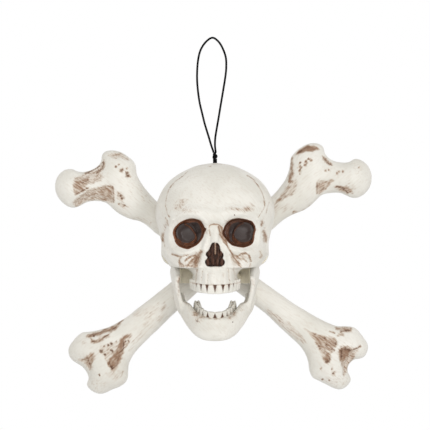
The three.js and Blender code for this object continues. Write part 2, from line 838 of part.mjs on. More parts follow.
function lowerJaw() {
  const edge = jawCurve();
  const gum = new THREE.CatmullRomCurve3(
    edge.getSpacedPoints(rimSteps).map((place) => new THREE.Vector3(place.x, place.y, gumHeight(place))),
  );
  const round = (from, to, radius) =>
    sides.map((side) => rod([side * from, 0, 0], [side * to, 0, 0], radius, bossSides));
  const earOuter = earInner + earThickness;
  const ears = round(earInner, earOuter, earRadius);
  const holes = round(earInner - overrun, ramusOuter + overrun, screwRadius + screwClearance);
  const teeth = toothRow(gum, lowerArchShares, -lowerToothLength, lowerToothRoot, lowerSideShare);
  const clearInside = round(earInner - overrun, earInner, earRadius + gap);
  const clearOutside = round(earOuter, ramusOuter + overrun, earRadius + gap);
  const body = join(jawBody(edge), ...sides.map(ramus)).subtract(join(...clearInside, ...clearOutside));
  return join(body, ...ears, ...teeth).subtract(join(...holes));
}

// A pan-head screw along +Y, its head's underside at the origin
function screw(length) {
  const head = rod([0, 0, 0], [0, headHeight, 0], headRadius, bossSides);
  const shank = rod([0, -length, 0], [0, headHeight / 2, 0], screwRadius - weld, screwSides);
  const span = (headRadius * recessSpanShare) / 2;
  const floor = headHeight - recessDepth;
  const recess = join(
    block([-span, floor, -recessWidth / 2], [span, overrun, recessWidth / 2]),
    block([-recessWidth / 2, floor, -span], [recessWidth / 2, overrun, span]),
  );
  return join(head, shank).subtract(recess);
}

function screwMesh(name, length, place, turn = 0) {
  const made = mesh(name, screw(length), zincSteel);
  made.position.set(...place);
  made.rotation.z = turn;
  return made;
}

// Cord
function cordAlong(points, steps) {
  const path = new THREE.CatmullRomCurve3(points, false, "centripetal");
  const section = new THREE.Shape();
  for (let i = 0; i < cordSides; i++) {
    const turn = (2 * Math.PI * i) / cordSides;
    const [x, y] = [cordRadius * Math.cos(turn), cordRadius * Math.sin(turn)];
    if (i === 0) section.moveTo(x, y);
    else section.lineTo(x, y);
  }
  return solid(new THREE.ExtrudeGeometry(section, { steps, extrudePath: path, bevelEnabled: false }));
}

// A knot as a barrel with two waists
function knot(radius, top, height) {
  const outline = knotShares.map(([share, up]) => new THREE.Vector2(radius * share, height * up));
  outline.unshift(new THREE.Vector2(0, 0));
  outline.push(new THREE.Vector2(0, height));
  const geometry = new THREE.LatheGeometry(outline, bossSides).rotateX(Math.PI / 2);
  return solid(geometry.translate(0, cordBehind, top - height));
}

// Assembly
const skull = new THREE.Group();
const [hookAcross, hookHeight] = loopRoute.reduce((top, point) => (point[1] > top[1] ? point : top));
skull.position.set(-hookAcross, -cordBehind, cordRadius - hookHeight);

skull.add(mesh("face_shell", faceShell(), bonePlastic));
skull.add(mesh("rear_shell", rearShell(), bonePlastic));
skull.add(mesh("eye_cup_left", eyeCup(-1), socketPlastic));
skull.add(mesh("eye_cup_right", eyeCup(1), socketPlastic));

const jawHinge = new THREE.Group();
jawHinge.position.set(0, hingeBehind, -hingeDrop);
const jaw = mesh("jaw", lowerJaw(), bonePlastic);
jaw.rotation.x = hingeOpenAngle;
jawHinge.add(jaw);
const earFace = earInner - gap;
const hingeScrewLength = earThickness + 2 * gap + hingeScrewBite - gap;
jawHinge.add(screwMesh("jaw_screw_left", hingeScrewLength, [-earFace, 0, 0], -Math.PI / 2));
jawHinge.add(screwMesh("jaw_screw_right", hingeScrewLength, [earFace, 0, 0], Math.PI / 2));
skull.add(jawHinge);

shellBosses.forEach(([x, z], i) => {
  const place = [x, shellSeat + gap, z];
  skull.add(screwMesh("shell_screw_" + (i + 1), shellSeat + gap + shellScrewBite, place));
});

boneAxes.forEach((axis, bone) => {
  const [front, rear] = boneShells(bone);
  const name = "bone_" + (bone + 1);
  skull.add(mesh(name + "_front_shell", front, bonePlastic));
  skull.add(mesh(name + "_rear_shell", rear, bonePlastic));
});
bonePosts.forEach(({ bone, x, z, seat }, i) => {
  const under = boneScrewSeat(bone) + gap;
  const length = under - (seat - gap - postScrewBite);
  skull.add(screwMesh("bone_screw_" + (i + 1), length, [x, under, z]));
});

const loopPoints = loopRoute.map(([x, z]) => new THREE.Vector3(x, cordBehind, z));
skull.add(mesh("hang_loop", cordAlong(loopPoints, cordSteps), waxedCord));
const knotTop = loopRoute[0][1] - gap;
skull.add(mesh("loop_knot", knot(knotRadius, knotTop, knotHeight), waxedCord));
const stopperTop = -wall - stopperSeat;
const tailTop = knotTop - knotHeight - gap;
const tailX = cordRadius + gap / 2;
for (const [name, side] of [
  ["cord_tail_left", -1],
  ["cord_tail_right", 1],
]) {
  const ends = [tailTop, stopperTop + gap].map((z) => new THREE.Vector3(side * tailX, cordBehind, z));
  skull.add(mesh(name, cordAlong(ends, 1), waxedCord));
}
skull.add(mesh("stopper_knot", knot(stopperRadius, stopperTop, stopperHeight), waxedCord));

const decoration = new THREE.Group();
decoration.add(skull);
export default decoration;
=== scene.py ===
"""Looks of a hanging skull and crossbones decoration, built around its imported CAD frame.

Metres, +Z up, face towards -Y. The skull frame has its origin at the crown, on the middle plane and on the
plane where the two skull shells part. A drop is a distance below the crown. Left is the viewer's left.
"""
import json
import math

import bmesh
import bpy
import numpy as np
from mathutils import Matrix, Vector


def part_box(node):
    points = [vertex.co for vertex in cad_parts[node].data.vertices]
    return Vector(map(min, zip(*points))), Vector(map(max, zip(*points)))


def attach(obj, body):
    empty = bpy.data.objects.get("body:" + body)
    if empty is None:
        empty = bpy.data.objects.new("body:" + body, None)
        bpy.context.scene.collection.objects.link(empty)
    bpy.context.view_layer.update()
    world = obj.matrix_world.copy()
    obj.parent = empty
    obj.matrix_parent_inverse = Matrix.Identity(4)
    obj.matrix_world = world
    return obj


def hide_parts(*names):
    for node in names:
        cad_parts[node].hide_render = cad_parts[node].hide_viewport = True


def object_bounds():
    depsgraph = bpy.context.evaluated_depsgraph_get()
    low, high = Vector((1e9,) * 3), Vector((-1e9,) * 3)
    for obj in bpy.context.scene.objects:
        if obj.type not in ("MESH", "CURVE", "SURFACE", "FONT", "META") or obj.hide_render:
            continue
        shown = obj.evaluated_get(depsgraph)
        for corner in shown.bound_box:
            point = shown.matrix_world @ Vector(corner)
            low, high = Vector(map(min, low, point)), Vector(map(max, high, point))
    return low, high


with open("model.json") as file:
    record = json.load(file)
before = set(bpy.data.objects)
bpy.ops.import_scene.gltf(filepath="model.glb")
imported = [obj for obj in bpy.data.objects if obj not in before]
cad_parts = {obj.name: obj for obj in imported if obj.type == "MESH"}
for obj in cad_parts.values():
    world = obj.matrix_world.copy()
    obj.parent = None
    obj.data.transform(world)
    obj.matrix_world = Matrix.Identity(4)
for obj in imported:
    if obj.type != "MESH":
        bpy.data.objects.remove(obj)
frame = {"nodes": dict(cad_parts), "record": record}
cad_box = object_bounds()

# Photograph
PHOTO_SIZE = 430
PHOTO_CENTRE = (215, 215)
CROWN_PIXEL = (215, 163)
PIXEL = 0.00113  # size of a pixel at the skull
CAMERA_DISTANCE = 7.0
SENSOR = 0.036

# Fits
GAP = 0.0003
WALL = 0.0026
BOSS_RADIUS = 0.0047
HINGE_BOSS_RADIUS = 0.005
PILOT_RADIUS = 0.0016
SHANK_RADIUS = 0.0017
SINK_RADIUS = 0.0033
HEAD_HEIGHT = 0.002

# Steps of the grids, and their boxes in each piece's own frame
STEP = 0.00085
BONE_STEP = 0.0010
FACE_GRID = ((-0.0705, -0.0785, -0.1405), (0.0705, 0.0015, 0.0035), STEP)
REAR_GRID = ((-0.0705, -0.0015, -0.1405), (0.0705, 0.0315, 0.0025), STEP)
JAW_GRID = ((-0.0545, -0.0775, -0.0815), (0.0545, 0.0105, 0.0085), STEP)
BONE_GRID = ((-0.2085, -0.0245, -0.056), (0.2065, 0.0245, 0.0465), BONE_STEP)
INFLATE_ROUNDS = 1400
SPREAD_ROUNDS = 14
BEYOND = 0.02  # how far a cut runs past what it cuts

# How softly forms run into each other
SHARP = 0.0002
CRISP = 0.0003
EASED = 0.0004
SOFT = 0.0006

# How paint finds its places: the reach of a crease, and the depths between which the outer skin ends
CREASE_REACH = 0.0022
FACE_CREASE_REACH = 0.0018
SKIN_DEPTHS = (-0.0014, -0.0006)

# Skull frame in the row frame
hook = Vector(frame["record"]["mounts"][0]["pos_m"])
LOOP_TOP = (-0.0031, 0.1417)
CORD_RADIUS = 0.001
CORD_BEHIND = 0.006
CORD_HOLE = 0.0026
CORD_SIDES = 18
CORD_SAMPLES = 14
CORD_LAY = 0.0065  # length of one turn of its strands
STRAND_DIP = 0.06
FULLNESS = 1.18  # of the strands over the cord's own radius
KNOT_SAMPLES = 96
KNOT_TURN = math.radians(75)
CROWN = hook.z - LOOP_TOP[1] + CORD_RADIUS
SKULL = np.array([hook.x - LOOP_TOP[0], hook.y - CORD_BEHIND, CROWN])

SKULL_WIDTH = 0.1345
FACE_HEIGHT = 0.137
FACE_DEPTH = 0.066
REAR_DEPTH = 0.024
FACE_ROUNDNESS = 2.3
REAR_ROUNDNESS = 3.0

# [drop, half width, depth] as shares of FACE_HEIGHT, SKULL_WIDTH / 2 and the half's depth
FACE_SHARES = [
    (0.0, 0.0, 0.0), (0.004, 0.1, 0.09), (0.02, 0.29, 0.25), (0.05, 0.449, 0.4), (0.115, 0.682, 0.58),
    (0.197, 0.85, 0.73), (0.292, 0.95, 0.845), (0.365, 0.995, 0.9), (0.42, 1.0, 0.93), (0.47, 0.987, 0.92),
    (0.53, 0.955, 0.88), (0.6, 0.925, 0.85), (0.668, 0.9, 0.84), (0.742, 0.905, 0.85),
    (0.784, 0.855, 0.865), (0.829, 0.785, 0.88), (0.85, 0.762, 0.885), (0.86, 0.7, 0.89),
    (0.866, 0.53, 0.895), (0.872, 0.465, 0.9), (0.9, 0.402, 0.94), (0.924, 0.376, 0.965),
    (0.95, 0.388, 0.985), (0.975, 0.412, 1.0), (1.0, 0.425, 1.0),
]
REAR_SHARES = [
    (0.0, 0.0, 0.0), (0.004, 0.1, 0.22), (0.02, 0.29, 0.42), (0.05, 0.449, 0.58), (0.115, 0.682, 0.76),
    (0.197, 0.85, 0.88), (0.292, 0.95, 0.96), (0.365, 0.995, 1.0), (0.47, 0.987, 1.0), (0.6, 0.925, 1.0),
    (0.668, 0.9, 1.0), (0.742, 0.905, 1.0), (0.8, 0.87, 1.0), (0.835, 0.8, 0.99), (0.858, 0.62, 0.98),
    (0.89, 0.605, 0.97), (1.0, 0.605, 0.95),
]
# Forms of the face: across, drop, spread across, spread down, rise
FORMS = [
    (0.0269, 0.0562, 0.0182, 0.0075, 0.0042), (0.0, 0.0603, 0.0108, 0.0082, 0.002),
    (0.0, 0.0695, 0.0075, 0.0036, -0.0022), (0.0, 0.0835, 0.0058, 0.0115, 0.0062),
    (0.0282, 0.081, 0.0175, 0.0137, -0.0066), (0.043, 0.1007, 0.0134, 0.0095, 0.0068),
    (0.0225, 0.1082, 0.0078, 0.0085, -0.0062), (0.0619, 0.0685, 0.0094, 0.0164, -0.0053),
    (0.0, 0.118, 0.004, 0.0035, 0.0022), (0.0, 0.127, 0.03, 0.006, 0.0008),
    (0.0105, 0.094, 0.004, 0.014, 0.0022),
]

# Outlines and lines that start with PIXEL_ are in pixels of the photograph
PIXEL_SOCKETS = [
    [
        (172.8, 232.4), (174, 228.2), (176.9, 224.7), (180.3, 221.9), (184.9, 219.6), (190.6, 218.2),
        (196.3, 218.7), (200.9, 220.5), (203.2, 223.6), (205.1, 227.2), (206.6, 228.7), (205.1, 232.2),
        (203.7, 236.7), (200.9, 241.3), (196.9, 245.3), (192.3, 247.6), (188.3, 249.1), (183.7, 248.4),
        (179.2, 246.4), (175.7, 243), (174.4, 239.4), (173.3, 236),
    ],
    [
        (223.2, 228.7), (224.3, 225.9), (227.2, 221.9), (231.2, 219.3), (236.9, 217.9), (242.6, 218.4),
        (248.3, 219.6), (252.3, 221.3), (254.6, 224.7), (255.4, 227.6), (255.9, 229.9), (255.3, 232.2),
        (254.6, 235), (254.1, 239.6), (252.3, 243.6), (248.9, 245.9), (243.2, 247.6), (238.1, 247),
        (232.3, 245.6), (228.9, 243), (226, 239.6), (223.4, 236.6), (222, 233.9), (222.2, 231),
    ],
]
GUM_RISE = 0.0028  # how far the upper gum rises from its middle to GUM_HALF
GUM_HALF = 0.028
SOCKET_FLOOR = 0.030
SOCKET_TAPER = 0.0036
SOCKET_BRIM = 0.0016
TAPER_SHARE = 0.9  # where the taper starts, as a share of the face's depth
GUM_EDGE = 0.0009
BOSS_REACH = 0.012
# Posts of the rear shell for the bones: below a screw's tip, past the flat back, and a limit of their field
POST_BOTTOM = 0.002
POST_RISE = 0.0058
POST_BLEND = 0.004
# Pilot of a hinge screw: its middle from the ear's inner face, and half its length
HINGE_BITE = 0.006
HINGE_BITE_HALF = 0.0055
SCREW_BITE = 0.009
CUP_DEPTH = 0.0040
LENS_RISE = 0.0026
CUP_FRONT = 0.0365  # front of the dish, before the parting plane
CUP_THICKNESS = 0.0014
CUP_RIM = 0.0012  # how far the dish runs behind the shell, past the socket's mouth
PIXEL_LENSES = [((186.2, 232.7), (10.4, 10.3)), ((243.8, 232.0), (10.6, 10.3))]
# Folds of the dishes: a line of pixels, its half width and its height in metres
PIXEL_LIDS = [
    [
        ([(185.2, 224.0), (190.4, 227.4), (194.6, 232.8), (196.5, 238.4), (194.4, 242.8)], 0.00085, 0.0017),
        ([(198.9, 223.2), (202.2, 230.6), (200.8, 238.8), (196, 244.4)], 0.0008, 0.0009),
        ([(178.6, 239.4), (183.6, 243.8), (190, 245.4), (195.6, 244)], 0.00075, 0.0011),
        ([(176.4, 240.6), (182, 245.6), (188.6, 247.2)], 0.0007, 0.0007),
    ],
    [
        ([(242.8, 222.8), (237, 226.8), (233.3, 233), (233.1, 239.2), (236.4, 242.8)], 0.00085, 0.0017),
        ([(230.2, 224.6), (228.1, 232), (229.4, 239.6), (233.4, 244.2)], 0.0008, 0.0009),
        ([(235.4, 243.6), (241, 245), (247, 244), (252, 240.4)], 0.00075, 0.0011),
        ([(238, 246), (244, 246.4), (250.6, 243.6)], 0.0007, 0.0007),
    ],
]
# Smoky places of the dishes beside the lenses
PIXEL_SMOKE = [
    [
        (188.6, 223.4), (194, 222.0), (198.6, 222.8), (201.8, 226.6), (202.6, 231), (201.4, 236.5),
        (198.2, 242), (196.4, 240), (195.0, 233.6), (192.2, 229.0),
    ],
    [
        (240.0, 222.6), (235.0, 222.4), (230.6, 224.6), (228.4, 228.6), (228.0, 233), (229.2, 238.6),
        (231.6, 242.2), (232.6, 238), (233.8, 231.6), (236.4, 226.8),
    ],
]
PIXEL_NOSE = [
    (214, 241.9), (211.2, 243.6), (209.5, 248.2), (208.3, 249.9), (206, 252.7), (205.8, 255),
    (207.2, 257.3), (204.9, 260.7), (205.5, 263.6), (207.2, 265.9), (210.6, 266.5), (215.2, 266.1),
    (219.8, 266.5), (222, 265.9), (224.3, 264.2), (224.9, 260.7), (223, 257.9), (223.8, 255),
    (222.6, 252.2), (220.3, 249.3), (219.8, 245.9), (218, 243),
]
NOSE_DEPTH = 0.014
NOSE_INSET = 0.0006
NOSE_BRIM = 0.001
# A lip round the nose: height, distance outside the opening and spread
NOSE_LIP = 0.0009
NOSE_LIP_AWAY = 0.0012
NOSE_LIP_SPREAD = 0.0016
FOLDS_FORWARD = 0.0585
CARVED_FROM = (0.004, 0.02)  # where carving fades in, before the parting plane
# Folds inside the nose: a line of pixels and its radius in metres
PIXEL_NOSE_FOLDS = [
    ([(215.3, 242.5), (215.3, 254.5)], 0.001), ([(212.4, 246), (211.8, 262)], 0.0009),
    ([(218, 246), (218.4, 262)], 0.0009), ([(208.6, 251), (209.4, 254.6)], 0.0016),
    ([(221.4, 251), (220.8, 254.6)], 0.0016), ([(207.6, 259.5), (208.2, 263.4)], 0.0018),
    ([(222, 259.5), (221.6, 263.4)], 0.0018), ([(213.6, 259), (213.4, 264.5)], 0.0012),
    ([(217, 259), (217.2, 264.5)], 0.0012),
]

# Ridges and grooves of the face: a line of pixels, its half width in pixels and its height in metres
PIXEL_RIDGES = [
    ([(208.6, 229), (207.2, 238), (204.2, 246), (202.4, 254), (201.2, 262), (200, 268)], 1.9, 0.0014),
    ([(222.4, 229), (224.2, 238), (227.2, 246), (230.2, 254), (231.8, 262), (232.2, 268)], 1.9, 0.0012),
    ([(211, 226.5), (211.4, 234), (211.8, 241)], 1.1, 0.0005),
    ([(218, 226.5), (218.2, 234), (217.8, 241)], 1.1, 0.0005),
    ([(166, 250), (169, 258), (174, 263.3), (184, 266), (194, 265.6)], 1.9, 0.0011),
    ([(264, 250), (261, 258), (256, 263.3), (246, 266), (236, 265.6)], 1.9, 0.0011),
    ([(172.5, 220), (169.4, 228), (169, 240), (172, 248), (179, 252.3), (188, 252.6),
      (196, 250)], 2.1, 0.0014),
    ([(258.5, 220), (260, 228), (259.4, 240), (256.6, 247), (249, 251.3), (240, 251.4),
      (233, 249.5)], 2.1, 0.0014),
    ([(207, 224), (200, 216.4), (190, 214), (180, 216.4), (172.5, 220)], 2.1, 0.0014),
    ([(222, 224), (229, 216.4), (240, 213.8), (251, 215.6), (258.5, 220)], 2.1, 0.0014),
    ([(209.5, 221), (206, 214), (198, 209.5), (188, 208.6)], 3.4, 0.0011),
    ([(220.5, 221), (224, 214), (232, 209.5), (242, 208.6)], 3.4, 0.0011),
    ([(199.8, 272), (199.6, 283)], 1.5, 0.0006), ([(205, 271), (205, 283)], 1.5, 0.0007),
    ([(211.6, 271), (211.6, 283)], 1.9, 0.0006), ([(219.6, 271), (219.6, 283)], 1.9, 0.0006),
    ([(225.8, 271), (225.8, 283)], 1.5, 0.0007), ([(231, 272), (231.2, 283)], 1.5, 0.0006),
]
PIXEL_GROOVES = [
    ([(201.2, 251.6), (197.4, 256.2), (194, 260.7), (190.8, 265.3)], 1.5, -0.0016),
    ([(195.7, 255), (188.9, 257.6), (184.9, 260.7)], 1.0, -0.001),
    ([(172.9, 254.5), (179.7, 256.2), (186.6, 254.5)], 1.0, -0.0009),
    ([(181.4, 256.2), (179.7, 259.6), (180.3, 262.5)], 0.9, -0.0008),
    ([(219, 226), (220.6, 233.3), (222.8, 239), (226.6, 244.7), (232.3, 252.7), (236.4, 259.6),
      (239, 265)], 0.9, -0.001),
    ([(232.3, 254.3), (238, 255.8), (241.6, 253.6)], 0.9, -0.0009),
    ([(241.6, 253.6), (248.3, 254.8), (249.8, 257.3), (250.6, 260.7)], 1.0, -0.001),
    ([(237, 258), (243, 259.4), (247, 262.5)], 1.2, -0.0009),
    ([(209, 226.6), (211.8, 224.6), (217.6, 224.6), (220.4, 227)], 0.7, -0.0006),
    ([(209.3, 227), (209.5, 234)], 0.7, -0.0005), ([(197, 273), (196.8, 283)], 0.7, -0.0005),
    ([(202.5, 272), (202.3, 283)], 0.7, -0.0005), ([(208, 273), (207.6, 283)], 0.7, -0.0005),
    ([(215.7, 274), (215.7, 283)], 0.7, -0.0004), ([(223, 273), (223, 283)], 0.7, -0.0005),
    ([(228.4, 272), (228.6, 283)], 0.7, -0.0005),
    ([(165.4, 228), (163.8, 237), (164.8, 246)], 2.2, -0.0018),
    ([(264.4, 228), (266, 237), (265.2, 246)], 2.2, -0.0018),
]

# Teeth, from the middle of each jaw outwards: width, crown, neck as a share of the width, and thickness
UPPER_TEETH = [
    (0.0090, 0.0104, 0.50, 0.0046), (0.0086, 0.0100, 0.46, 0.0046), (0.0106, 0.0100, 0.44, 0.0050),
    (0.0112, 0.0094, 0.46, 0.0056), (0.0104, 0.0090, 0.60, 0.0064), (0.0090, 0.0086, 0.70, 0.0072),
]
LOWER_TEETH = [
    (0.0084, 0.0074, 0.44, 0.0042), (0.0072, 0.0072, 0.44, 0.0044), (0.0074, 0.0076, 0.46, 0.0050),
    (0.0078, 0.0072, 0.52, 0.0062), (0.0094, 0.0074, 0.66, 0.0084), (0.0090, 0.0070, 0.70, 0.0086),
]
UPPER_ROOT = 0.0035
UPPER_INSET = 0.0012
LOWER_ROOT = 0.0035
# Line of the lower teeth, across and forward of the hinge; their necks are LOWER_GUM below it
LOWER_ARCH = [
    (0.0, 0.0672), (0.0066, 0.0655), (0.0122, 0.0602), (0.0163, 0.0512), (0.019, 0.0405), (0.0206, 0.0262),
]
LOWER_GUM = 0.0492
LEAST_MOLAR = 0.006  # teeth thicker than this have cusps
CUSP = 0.0011
TOOTH_SPACING = 0.00025
TOOTH_ROUNDING = 0.0009
TOOTH_FLARE = 1.35
WEB_HALF = 0.0008
NECK_WASH = 0.42
TOOTH_STEP = 0.00042

# Lower jaw, closed, measured from the hinge axis
HINGE_DROP = 0.106
HINGE_BEHIND = 0.007
OPEN_ANGLE = math.radians(19.4)
JAW_HALF_WIDTH = 0.0403
JAW_REACH = 0.069
JAW_DROP = 0.0772
JAW_ROUNDNESS = 2.6
JAW_THICKNESS = 0.0115
GUM_SHARES = (0.55, 0.655)
# The edge rises outside the molars
SHELF_RISE = 0.0055
SHELF_FORWARD = 0.041
SHELF_LENGTH = 0.0125
JAW_EDGE = [
    (1.0, 0.02, 0.66), (0.97, 0.17, 0.7), (0.9, 0.35, 0.755), (0.76, 0.575, 0.84), (0.61, 0.75, 0.905),
    (0.44, 0.89, 0.955), (0.2, 0.975, 0.98),
]
RAMUS = [
    (-0.09, 0.03), (-0.085, 0.16), (-0.06, 0.36), (-0.015, 0.54), (0.07, 0.67), (0.22, 0.73), (0.4, 0.72),
    (0.55, 0.65), (0.53, 0.5), (0.52, 0.34), (0.505, 0.19), (0.475, 0.15), (0.43, 0.14), (0.36, 0.11),
    (0.25, 0.05), (0.14, 0.03), (0.1, 0.02), (0.08, 0.01),
]
# How far the ramus stands out, by the drop below the hinge
RAMUS_SWAY = [(0.0, 0.0), (0.009, 0.0), (0.02, 0.0026), (0.03, 0.002), (0.042, 0.0006), (0.056, -0.001)]
RAMUS_OUTER = 0.0495
RAMUS_THICKNESS = 0.0055
RAMUS_FLARE = 0.146
RAMUS_TAPER = 0.08
EAR_RADIUS = 0.007
EAR_INNER = 0.044
EAR_THICKNESS = 0.004
SLOT_REACH = 0.004
SLOT_BELOW_HINGE = 0.001
SLOT_CLEARANCE = 0.0007
# Opening in the underside of the cheeks, through which the ramus swings
SWEEP_ACROSS = (0.0386, 0.0479)
SWEEP_FORWARD = 0.0248
SWEEP_DROP = 0.1135

# Bones. u runs along a bone, up towards its ball, v across it and w behind its middle
BONE_FLATNESS = 0.88
BONE_ANGLES = (math.radians(36.2), math.radians(39.8))
BONE_LEANS = (-1, 1)
BONE_SLIDES = (0.0, 0.0035)
CROSS_DROP = 0.1112
CROSS_PLAY = 0.0007
CROSS_RADIUS = 0.0127
# The photograph's four bone ends were enlarged by TRACE_SCALE from these pixels on
TRACE_SCALE = 9
TRACE_CORNERS = {
    "upper_left": (52, 140),
    "upper_right": (268, 135),
    "lower_left": (60, 300),
    "lower_right": (265, 305),
}
BONE_ENDS = (("upper_left", "lower_right"), ("upper_right", "lower_left"))
TRACE_OUTLINES = {
    "upper_left": [
        (942, 555), (900, 510), (860, 465), (820, 415), (785, 360), (762, 310), (755, 270), (750, 230),
        (735, 195), (705, 165), (665, 135), (620, 108), (570, 93), (520, 90), (480, 98), (455, 118),
        (442, 145), (440, 175), (425, 210), (400, 238), (360, 262), (320, 277), (280, 285), (235, 283),
        (205, 272), (180, 260), (150, 258), (115, 265), (80, 285), (50, 315), (28, 360), (20, 410),
        (25, 460), (45, 510), (80, 555), (125, 592), (170, 608), (215, 605), (250, 590), (285, 570),
        (325, 555), (375, 548), (430, 552), (480, 565), (515, 590), (545, 620), (580, 650), (620, 675),
        (670, 700), (725, 718), (780, 730), (830, 755), (875, 790), (915, 828),
    ],
    "upper_right": [
        (70, 828), (100, 800), (150, 760), (210, 725), (270, 700), (330, 675), (375, 645), (410, 615),
        (440, 585), (475, 550), (515, 530), (565, 522), (620, 518), (670, 525), (715, 545), (755, 562),
        (800, 566), (850, 548), (895, 510), (925, 465), (940, 410), (940, 355), (925, 305), (900, 265),
        (865, 235), (825, 215), (790, 212), (765, 222), (740, 238), (700, 245), (650, 242), (600, 230),
        (560, 210), (530, 180), (515, 150), (508, 118), (490, 92), (460, 75), (415, 68), (365, 75),
        (315, 98), (270, 130), (235, 165), (210, 200), (203, 250), (195, 300), (180, 350), (155, 405),
        (120, 455), (80, 505), (35, 550),
    ],
    "lower_left": [
        (800, 0), (740, 45), (680, 90), (620, 140), (560, 180), (500, 215), (440, 245), (370, 268),
        (300, 285), (235, 293), (195, 298), (160, 320), (125, 355), (90, 400), (70, 440), (68, 480),
        (80, 520), (110, 555), (150, 580), (195, 610), (225, 645), (245, 685), (250, 715), (240, 745),
        (235, 770), (250, 800), (285, 830), (330, 850), (375, 853), (420, 838), (465, 815), (520, 795),
        (570, 765), (598, 730), (608, 690), (610, 640), (615, 590), (635, 540), (665, 490), (710, 435),
        (760, 385), (820, 325), (880, 270), (940, 210), (990, 160),
    ],
    "lower_right": [
        (0, 75), (60, 130), (120, 190), (180, 245), (240, 300), (300, 355), (345, 410), (375, 465),
        (392, 520), (400, 580), (415, 630), (440, 665), (490, 690), (550, 720), (610, 750), (670, 768),
        (720, 755), (760, 720), (778, 680), (770, 645), (752, 610), (750, 570), (770, 530), (810, 498),
        (860, 490), (900, 470), (925, 430), (935, 385), (925, 345), (895, 300), (865, 260), (830, 220),
        (785, 200), (720, 195), (660, 195), (610, 180), (550, 155), (490, 125), (430, 92), (370, 55),
        (310, 20), (275, 0),
    ],
}
# Knobs that stand rounder than the outline alone gives: middle, radius and gain
TRACE_KNOBS = {
    "upper_left": [((165, 430), 190, 1.0), ((610, 210), 160, 0.45)],
    "upper_right": [((800, 390), 190, 1.0), ((360, 190), 160, 0.45)],
    "lower_left": [((180, 430), 170, 0.55), ((400, 730), 170, 0.5)],
    "lower_right": [((800, 330), 170, 0.55), ((590, 640), 170, 0.5)],
}
# Hollows: outline, depth in metres and softness of its edge in pixels of the photograph
TRACE_HOLLOWS = {
    "upper_left": [
        ([(190, 300), (250, 308), (330, 290), (400, 255), (462, 185), (462, 290), (450, 340), (390, 385),
          (330, 400), (270, 440), (205, 490), (185, 430)], 0.0016, 1.6),
        ([(215, 520), (300, 458), (370, 434), (450, 418), (540, 405), (548, 470), (552, 560), (500, 575),
          (430, 560), (330, 560), (260, 590), (215, 605), (190, 560)], 0.0026, 2.0),
        ([(505, 125), (570, 104), (630, 120), (694, 180), (640, 174), (560, 162), (510, 155)], 0.0009, 1.2),
        ([(580, 480), (610, 470), (650, 505), (640, 545), (600, 540)], 0.001, 1.4),
        ([(590, 560), (650, 565), (690, 600), (640, 618), (600, 600)], 0.0006, 1.4),
    ],
    "upper_right": [
        ([(245, 175), (275, 136), (330, 100), (380, 84), (440, 100), (470, 130), (430, 142), (360, 152),
          (300, 167)], 0.001, 1.2),
        ([(440, 430), (500, 408), (610, 406), (560, 455), (510, 508), (445, 530)], 0.002, 1.5),
        ([(498, 190), (520, 205), (575, 258), (560, 268), (520, 250)], 0.0012, 1.2),
        ([(560, 225), (650, 256), (740, 258), (735, 270), (640, 272), (580, 250)], 0.0007, 1.4),
        ([(610, 455), (680, 458), (740, 500), (700, 520), (630, 490)], 0.0007, 1.6),
    ],
    "lower_left": [
        ([(215, 335), (330, 292), (440, 262), (540, 205), (500, 262), (430, 300), (350, 325),
          (260, 345)], 0.0012, 1.5),
        ([(280, 365), (330, 385), (380, 355), (430, 322), (390, 330), (330, 355)], 0.0014, 1.0),
        ([(400, 520), (455, 640), (495, 620), (535, 560), (565, 470), (600, 335), (555, 345), (520, 420),
          (460, 500)], 0.0013, 1.6),
        ([(160, 530), (235, 515), (275, 470), (310, 490), (285, 600), (265, 690), (235, 610),
          (195, 570)], 0.0024, 3.0),
        ([(350, 430), (470, 370), (560, 330), (540, 420), (480, 500), (400, 510)], 0.0007, 2.2),
    ],
    "lower_right": [
        ([(380, 220), (450, 262), (540, 282), (645, 300), (652, 370), (622, 420), (600, 440), (578, 525),
          (548, 535), (515, 480), (480, 375), (440, 305)], 0.001, 2.0),
        ([(672, 405), (700, 385), (745, 382), (790, 405), (872, 372), (810, 460), (765, 530), (752, 600),
          (708, 645), (690, 560), (664, 470)], 0.0042, 2.4),
        ([(650, 205), (785, 205), (775, 250), (700, 240), (660, 228)], 0.0009, 1.4),
        ([(655, 270), (685, 284), (712, 268), (680, 262)], 0.0012, 0.9),
        ([(572, 236), (600, 240), (638, 262), (600, 256)], 0.001, 0.9),
    ],
}
# Pits: middle and radius
TRACE_PITS = {
    "upper_left": [
        ((573, 238), 9), ((597, 220), 8), ((626, 272), 15), ((670, 258), 8), ((672, 296), 11),
        ((680, 324), 14), ((615, 500), 13), ((628, 524), 12), ((598, 574), 8), ((650, 592), 9),
        ((888, 742), 6),
    ],
    "upper_right": [
        ((366, 212), 9), ((388, 225), 11), ((345, 243), 12), ((334, 268), 13), ((292, 246), 8),
        ((292, 290), 12), ((288, 320), 12), ((288, 350), 7), ((522, 318), 9), ((548, 314), 8),
        ((624, 345), 8), ((646, 328), 9), ((676, 325), 8), ((820, 290), 7), ((462, 436), 8),
        ((492, 430), 8), ((210, 258), 7),
    ],
    "lower_left": [
        ((373, 460), 16), ((400, 492), 11), ((465, 460), 14), ((462, 400), 12), ((432, 408), 9),
        ((510, 382), 8), ((392, 418), 7), ((590, 376), 6), ((612, 370), 6), ((350, 678), 6),
        ((300, 330), 8), ((470, 608), 10),
    ],
    "lower_right": [
        ((545, 365), 14), ((495, 365), 13), ((637, 350), 15), ((605, 400), 10), ((575, 320), 8),
        ((540, 300), 9), ((626, 406), 7), ((556, 512), 13), ((507, 575), 7), ((605, 578), 7),
        ((618, 620), 10), ((580, 685), 7), ((520, 676), 8), ((495, 395), 8), ((600, 350), 7),
        ((455, 262), 8),
    ],
}
PIT_DEPTH = 0.0013
HOLLOW_DEPTH = 0.75
